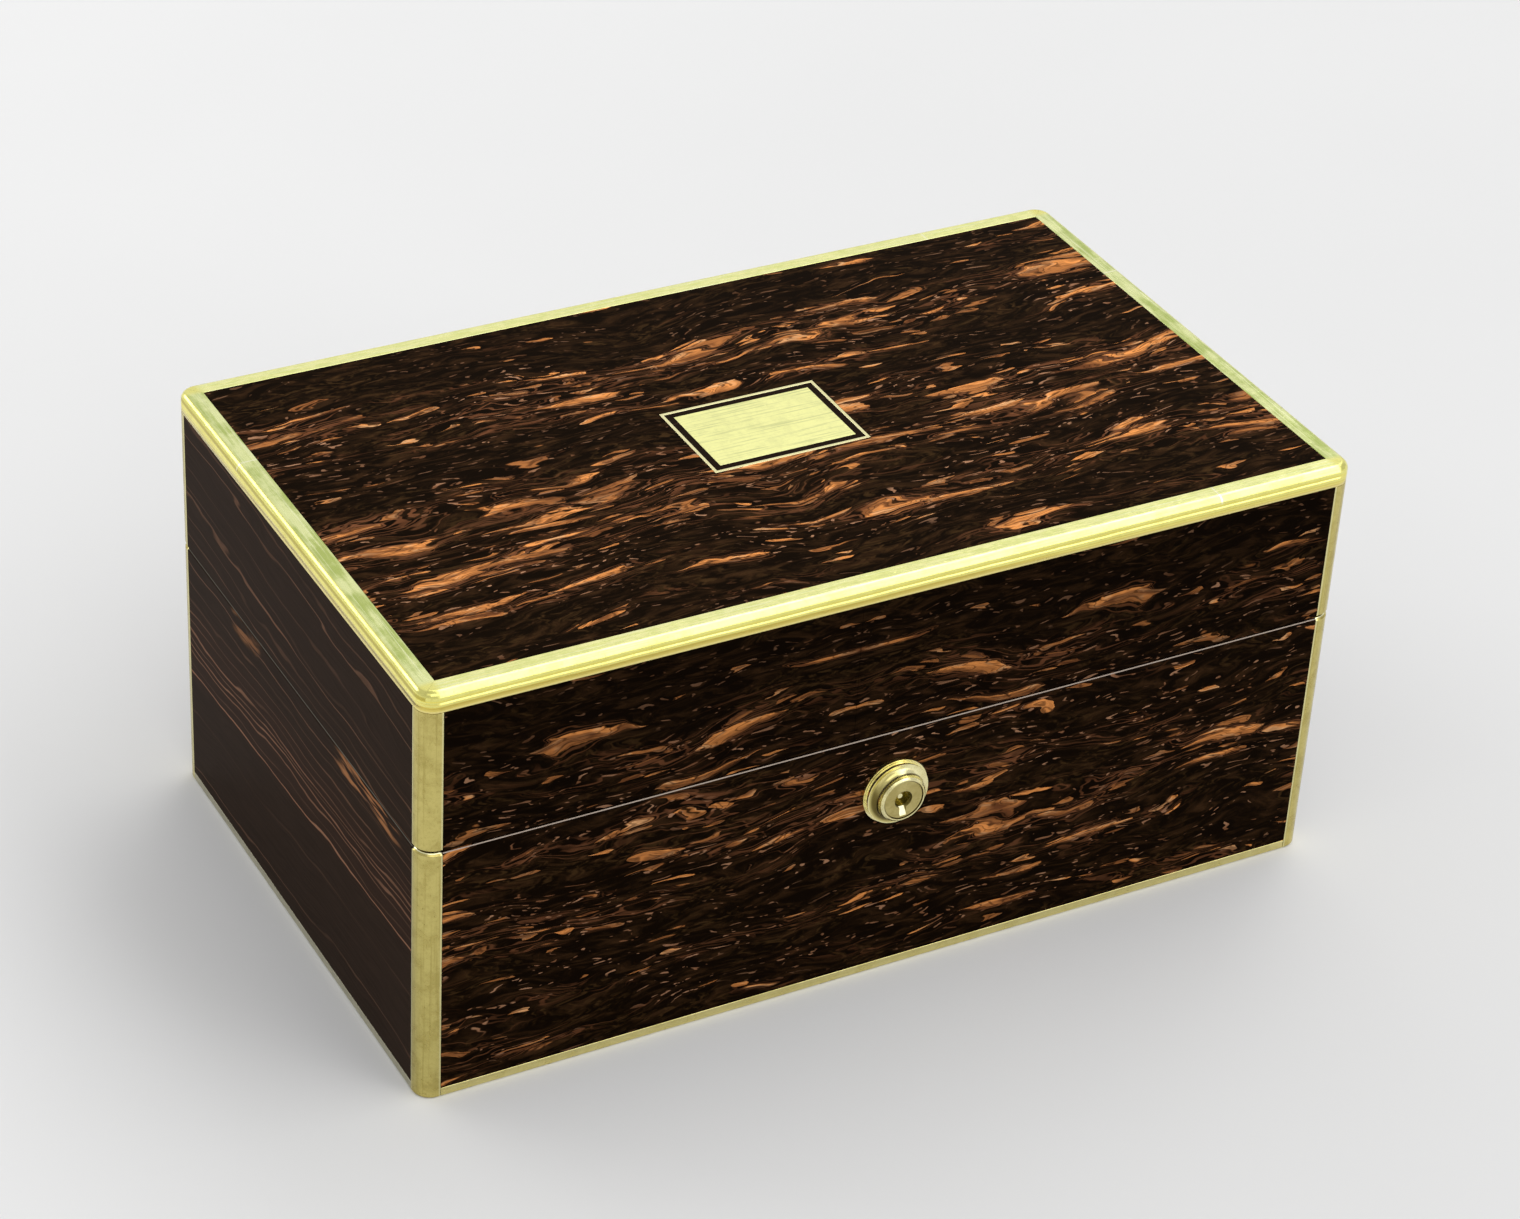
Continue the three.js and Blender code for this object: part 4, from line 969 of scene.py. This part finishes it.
def lid_cushion_piping():
    """A covered cord sewn round the edge of the lid's panel."""
    half, corner, radius, height = (139.5, 77.4), 8.0, 1.2, 130.4
    outline = []
    for sx, sy, start in ((1, -1, -90), (1, 1, 0), (-1, 1, 90), (-1, -1, 180)):
        for k in range(9):
            turn = math.radians(start + k * 90 / 8)
            x = sx * (half[0] - corner) + corner * math.cos(turn)
            outline.append((x, sy * (half[1] - corner) + corner * math.sin(turn)))
    points = []
    for (x0, y0), (x1, y1) in zip(outline, outline[1:] + outline[:1]):
        count = max(1, round(math.hypot(x1 - x0, y1 - y0) / 3.0))
        points += [(x0 + (x1 - x0) * k / count, y0 + (y1 - y0) * k / count) for k in range(count)]
    bm = bmesh.new()
    rings = []
    for i, (x, y) in enumerate(points):
        ahead = points[(i + 1) % len(points)]
        behind = points[i - 1]
        along = Vector((ahead[0] - behind[0], ahead[1] - behind[1], 0)).normalized()
        side = Vector((along.y, -along.x, 0))
        size = radius * (1 + 0.05 * math.sin(i * 1.9))
        ring = []
        for k in range(10):
            turn = k * math.tau / 10
            out = side * (size * math.cos(turn))
            ring.append(bm.verts.new((x + out.x, y + out.y, height + size * math.sin(turn))))
        rings.append(ring)
    bridge(bm, rings, joined=True)
    piece = link("lid_cushion_piping", mesh_from(bm, "lid_cushion_piping"))
    paint(piece, "ribbon")
    settle(piece, "lid", "ribbon")


def floor_lining():
    """Thin quilted velvet pad on the floor of the case."""

    def hollow(x, y):
        p = (x / 11 + y / 13) / 2
        q = (x / 11 - y / 13) / 2
        line = min(abs(p - round(p)), abs(q - round(q))) * 16.8
        return dip(0.85, line, 1.3) - 0.12 * noise.noise(Vector((x, y, 0)) * 0.05)

    mesh = pad_mesh("floor_lining", (0, 0), (138.9, 76.75), 7.35, 9.75, 2.0, 3.0, 2.2, hollow)
    piece = link("floor_lining", mesh)
    paint(piece, "velvet")
    settle(piece, "box", "velvet", "floor_pad")


# A ring roll's outline along its length: place and how full it is there
ROLL_ENDS = (
    *((-1, 0.62), (-0.985, 0.84), (-0.95, 0.97), (-0.88, 1)),
    *((0.88, 1), (0.95, 0.97), (0.985, 0.84), (1, 0.62)),
)


def ring_rolls():
    """Six stuffed velvet rolls that grip rings between them, made from one swollen roll."""
    length, pitch, foot, top, middle_x = 105.3, 24.25, 58.95, 75.7, -80.45
    half = length / 2 - 0.8
    bm = bmesh.new()
    rings = []
    for x, share in ROLL_ENDS:
        ring = []
        for k in range(24):
            turn = math.radians(-20 + 220 * k / 23)
            lift = max(math.sin(turn), -0.28)
            y = (pitch / 2 - 1.3) * share * math.copysign(abs(math.cos(turn)) ** 0.8, math.cos(turn))
            z = foot + 4.0 + (top - foot - 5.2) * lift * (0.55 + 0.45 * share)
            ring.append(bm.verts.new((x * half, y, z)))
        for side in (-1, 1):
            ring.append(bm.verts.new((x * half, side * (pitch / 2 - 2.2) * share, foot)))
        rings.append(ring)
    bridge(bm, rings)
    bm.faces.new(rings[0])
    bm.faces.new(rings[-1])
    first = link("ring_roll_1", mesh_from(bm, "ring_roll"))
    swell(first, 2.6, 1.4, lambda x, y, z: z < foot + 1.2)
    limit = pitch / 2 - 0.12
    shape = []
    for vert in first.data.vertices:
        x, y, z = (n / MM for n in vert.co)
        x = max(-length / 2, min(length / 2, x))
        y = max(-limit, min(limit, y))
        z = max(foot, min(top + 0.1, z))
        shape.append(Vector((x, y, z)) * MM)
    for number in range(1, 7):
        mesh = first.data if number == 1 else first.data.copy()
        piece = first if number == 1 else link(f"ring_roll_{number}", mesh)
        turned = -1 if number % 2 == 0 else 1
        middle_y = (number - 3.5) * pitch
        for vert, co in zip(mesh.vertices, shape):
            wander = co / MM * 0.045 + Vector((0, 0, number * 7.0))
            sink = 0.45 * (noise.noise(wander) - 0.6) if co.z > (foot + 3) * MM else 0.0
            vert.co = Vector((co.x * turned + middle_x * MM, co.y * turned + middle_y * MM, co.z + sink * MM))
        paint(piece, "velvet")
        settle(piece, "tray", "velvet", "ring_pad")


# The tray's bays, from x to x and from y to y
BAYS = {
    "front_bay": (-24.25, 53.7, -72.95, -1.6),
    "back_bay": (-24.25, 53.7, 1.6, 72.95),
    "end_bay": (56.8, 135.1, -72.95, 72.95),
}


def bay_linings():
    """Velvet on the floor and round the walls of each tray bay."""
    low, high, thick, room = 59.25, 81.4, 0.45, 0.15
    for name, (x0, x1, y0, y1) in BAYS.items():
        centre = ((x0 + x1) / 2, (y0 + y1) / 2)
        half = ((x1 - x0) / 2 - room, (y1 - y0) / 2 - room)
        floor_name = f"{name}_floor_velvet"
        floor = link(floor_name, pad_mesh(floor_name, centre, half, 58.55, 59.2, 0.5, 1.2, 6.0))
        paint(floor, "velvet")
        2 * half[0] * MM
        2 * half[1] * MM
        settle(floor, "tray", "velvet")
        bm = bmesh.new()
        loops = []
        for inset, z in ((0, low), (0, high - 0.15), (thick / 2, high), (thick, high - 0.15), (thick, low)):
            left, right, front, back = x0 + inset, x1 - inset, y0 + inset, y1 - inset
            corners = ((left, front), (right, front), (right, back), (left, back))
            loops.append([bm.verts.new((x, y, z)) for x, y in corners])
        bridge(bm, loops, joined=True)
        wall = link(f"{name}_wall_velvet", mesh_from(bm, f"{name}_wall_velvet"))
        paint(wall, "velvet", sharpest=40)
        settle(wall, "tray", "velvet")


def ribbon_pull(name, side, stands_for):
    """A folded ribbon loop inside the end of the tray."""
    width, foot, top, fold = 11.8, 67.1, 82.8, 0.42
    profile = [(134.45, foot)]
    for k in range(7):
        profile.append((134.5 + 0.1 * math.sin(k), foot + 1.5 + k * 2.1))
    for k in range(7):
        turn = math.pi * k / 6
        profile.append((134.05 + fold * math.cos(turn), top - fold + fold * math.sin(turn) - 0.1))
    for k in range(7):
        profile.append((133.72 + 0.06 * math.cos(k * 1.3), top - 1.6 - k * 2.1))
    profile.append((134.0, foot))
    bm = bmesh.new()
    rows = []
    for k in range(9):
        y = -width / 2 + width * k / 8
        bow = 0.12 * math.sin(math.pi * k / 8)
        rows.append([bm.verts.new((side * (x - bow), y, z)) for x, z in profile])
    bridge(bm, rows, closed=False)
    piece = link(name, mesh_from(bm, name, turn_outwards=False))
    thick = piece.modifiers.new("thickness", "SOLIDIFY")
    thick.thickness = 0.22 * MM
    thick.offset = 0.0
    apply_modifiers(piece)
    paint(piece, "ribbon", sharpest=60)
    settle(piece, "tray", "ribbon", stands_for)


def underside_cloth():
    mesh = pad_mesh("underside_baize", (0, 0), (145.7, 83.55), 1.1, 0.03, 0.5, 1.0, 12.0)
    piece = link("underside_baize", mesh)
    paint(piece, "baize")
    settle(piece, "box", "cloth", "base_cloth")


lid_cushion()
lid_cushion_buttons()
lid_cushion_piping()
floor_lining()
ring_rolls()
bay_linings()
ribbon_pull("ribbon_pull_left", -1, "tray_ribbon_left")
ribbon_pull("ribbon_pull_right", 1, "tray_ribbon_right")
underside_cloth()


# Small brass screws


def screws(name, places, radius, facing, body, slot):
    """Slotted countersunk heads, a hair proud of the plate. places are (x, y, z) on its face."""
    bm = bmesh.new()
    proud, groove = 0.14, radius * 0.17
    for x, y, z in places:
        turn = Matrix.Rotation(dice.uniform(0, math.pi), 3, "Z")

        def at(px, py, pz):
            spot = turn @ Vector((px, py, 0))
            return bm.verts.new((x + spot.x, y + spot.y, z + facing * pz))

        def circle(r):
            turns = [k * math.tau / 28 for k in range(28)]
            return [at(r * math.cos(a), r * math.sin(a), 0.015) for a in turns]

        arc = math.acos(groove / radius)
        for side in (1, -1):
            outer = []
            inner = []
            for k in range(15):
                a = -arc + 2 * arc * k / 14
                outer.append(at(side * radius * math.cos(a), radius * math.sin(a), -0.3))
                edge = max(radius * 0.94 * math.cos(a), groove)
                inner.append(at(side * edge, radius * 0.94 * math.sin(a), proud))
            bridge(bm, [outer, inner], closed=False)
            bm.faces.new(inner)
            bm.faces.new((outer[0], inner[0], inner[-1], outer[-1]))
        heads = len(bm.faces)
        floor = [at(px * groove, py * radius * 0.97, 0.02) for px, py in ((-1, -1), (1, -1), (1, 1), (-1, 1))]
        bm.faces.new(floor)
        bridge(bm, [circle(radius * 0.99), circle(radius * 1.07)])
        bm.faces.ensure_lookup_table()
        for face in bm.faces[heads:]:
            face.material_index = 1
    bmesh.ops.recalc_face_normals(bm, faces=[f for f in bm.faces if f.material_index == 0])
    for face in bm.faces:
        if face.material_index == 1 and face.normal.z * facing < 0:
            face.normal_flip()
    piece = link(name, mesh_from(bm, name, turn_outwards=False))
    paint(piece, "screw_brass", "screw_shadow", sharpest=30)
    settle(piece, body, slot)


def plate_places(z):
    return [(LOCK_X + x, -83.75, z) for x in (-31.7, 31.7)]


def leaf_places(z):
    return [(x, 84.6, z) for x in (-134, -90, -45, 0, 45, 90, 134)]


screws("base_hinge_screws", leaf_places(BASE_TOP), 1.9, 1, "box", "brass_hinge")
screws("lid_hinge_screws", leaf_places(LID_BOTTOM), 1.9, -1, "lid", "brass_hinge")
screws("lock_screws", plate_places(BASE_TOP), 1.8, 1, "box", "brass_lock")
screws("hook_screws", plate_places(LID_BOTTOM), 1.8, -1, "lid", "brass_lock")


# Stage: floor, world, lamp and camera


def pale_floor():
    g, inputs = new_finish("pale_floor", Roughness=0.9, Specular_IOR_Level=0.0)
    cloudy = g.noise(place(g), detail=2.0, scale=0.004)
    g.feed(inputs["Base Color"], g.blend(cloudy, (0.78, 0.78, 0.78), (0.82, 0.82, 0.82)))
    bm = bmesh.new()
    bmesh.ops.create_circle(bm, cap_ends=True, segments=96, radius=14.0)
    mesh = bpy.data.meshes.new("floor")
    bm.to_mesh(mesh)
    bm.free()
    floor = link("floor", mesh)
    paint(floor, "pale_floor", sharpest=None)


def soft_room():
    """A pale world: bright overhead, behind and at the front left, and dimmer high up."""
    world = bpy.data.worlds.new("soft_room")
    bpy.context.scene.world = world
    world.use_nodes = True
    g = Graph(world.node_tree)
    x, y, height = g.split(g.value("ShaderNodeTexCoord", {}, output="Generated"))
    behind = g.step(y, 0.3, 0.5) * g.step(height, 0.12, 0.3) * g.step(x, -0.3, 0.0)
    sideways = g.step(x, 0.2, 0.33) * g.step(x, 0.7, 0.58)
    overhead = sideways * g.step(y, 0.66, 0.5) * g.step(height, 0.0, 0.1)
    front_left = g.step(x, -0.6, -0.35) * (g.step(y, -0.2, -0.36) * g.step(height, 0.5, 0.7))
    level = g.scaled(g.step(height, 0.3, 0.04), 0.58, 0.84)
    level = level + behind * 0.25 + front_left * g.step(x, 0.28, 0.12) + overhead * 1.7
    background = world.node_tree.nodes["Background"]
    g.feed(background.inputs["Strength"], level)
    g.feed(background.inputs["Color"], (1.0, 1.0, 1.0))


def back_softbox():
    position = Vector((-0.95, 1.25, 0.85))
    data = bpy.data.lights.new("back_softbox", "AREA")
    data.shape = "RECTANGLE"
    data.size = 0.9
    data.size_y = 0.5
    data.energy = 3.5
    lamp = link("back_softbox", data)
    lamp.location = position
    lamp.rotation_euler = (Vector((0.0, 0.0, 0.07)) - position).to_track_quat("-Z", "Y").to_euler()


def photo_view():
    """The camera that was fitted to the photo."""
    position = (-0.5294, -0.9231, 0.7679)
    azimuth, elevation, roll = (math.radians(a) for a in (-29.935, 33.074, 3.407))
    level = math.cos(elevation)
    back = Vector((math.sin(azimuth) * level, -math.cos(azimuth) * level, math.sin(elevation)))
    right = (-back).cross(Vector((0, 0, 1))).normalized()
    up = right.cross(-back)
    turned_right = right * math.cos(roll) + up * math.sin(roll)
    turned_up = up * math.cos(roll) - right * math.sin(roll)
    data = bpy.data.cameras.new("photo_view")
    data.sensor_width = 36.0
    data.lens = 97.61
    data.clip_end = 60.0
    camera = link("photo_view", data)
    turn = Matrix((turned_right, turned_up, back)).transposed()
    camera.matrix_world = Matrix.Translation(position) @ turn.to_4x4()
    bpy.context.scene.camera = camera


pale_floor()
soft_room()
back_softbox()
photo_view()
bpy.context.scene.view_settings.view_transform = "Standard"
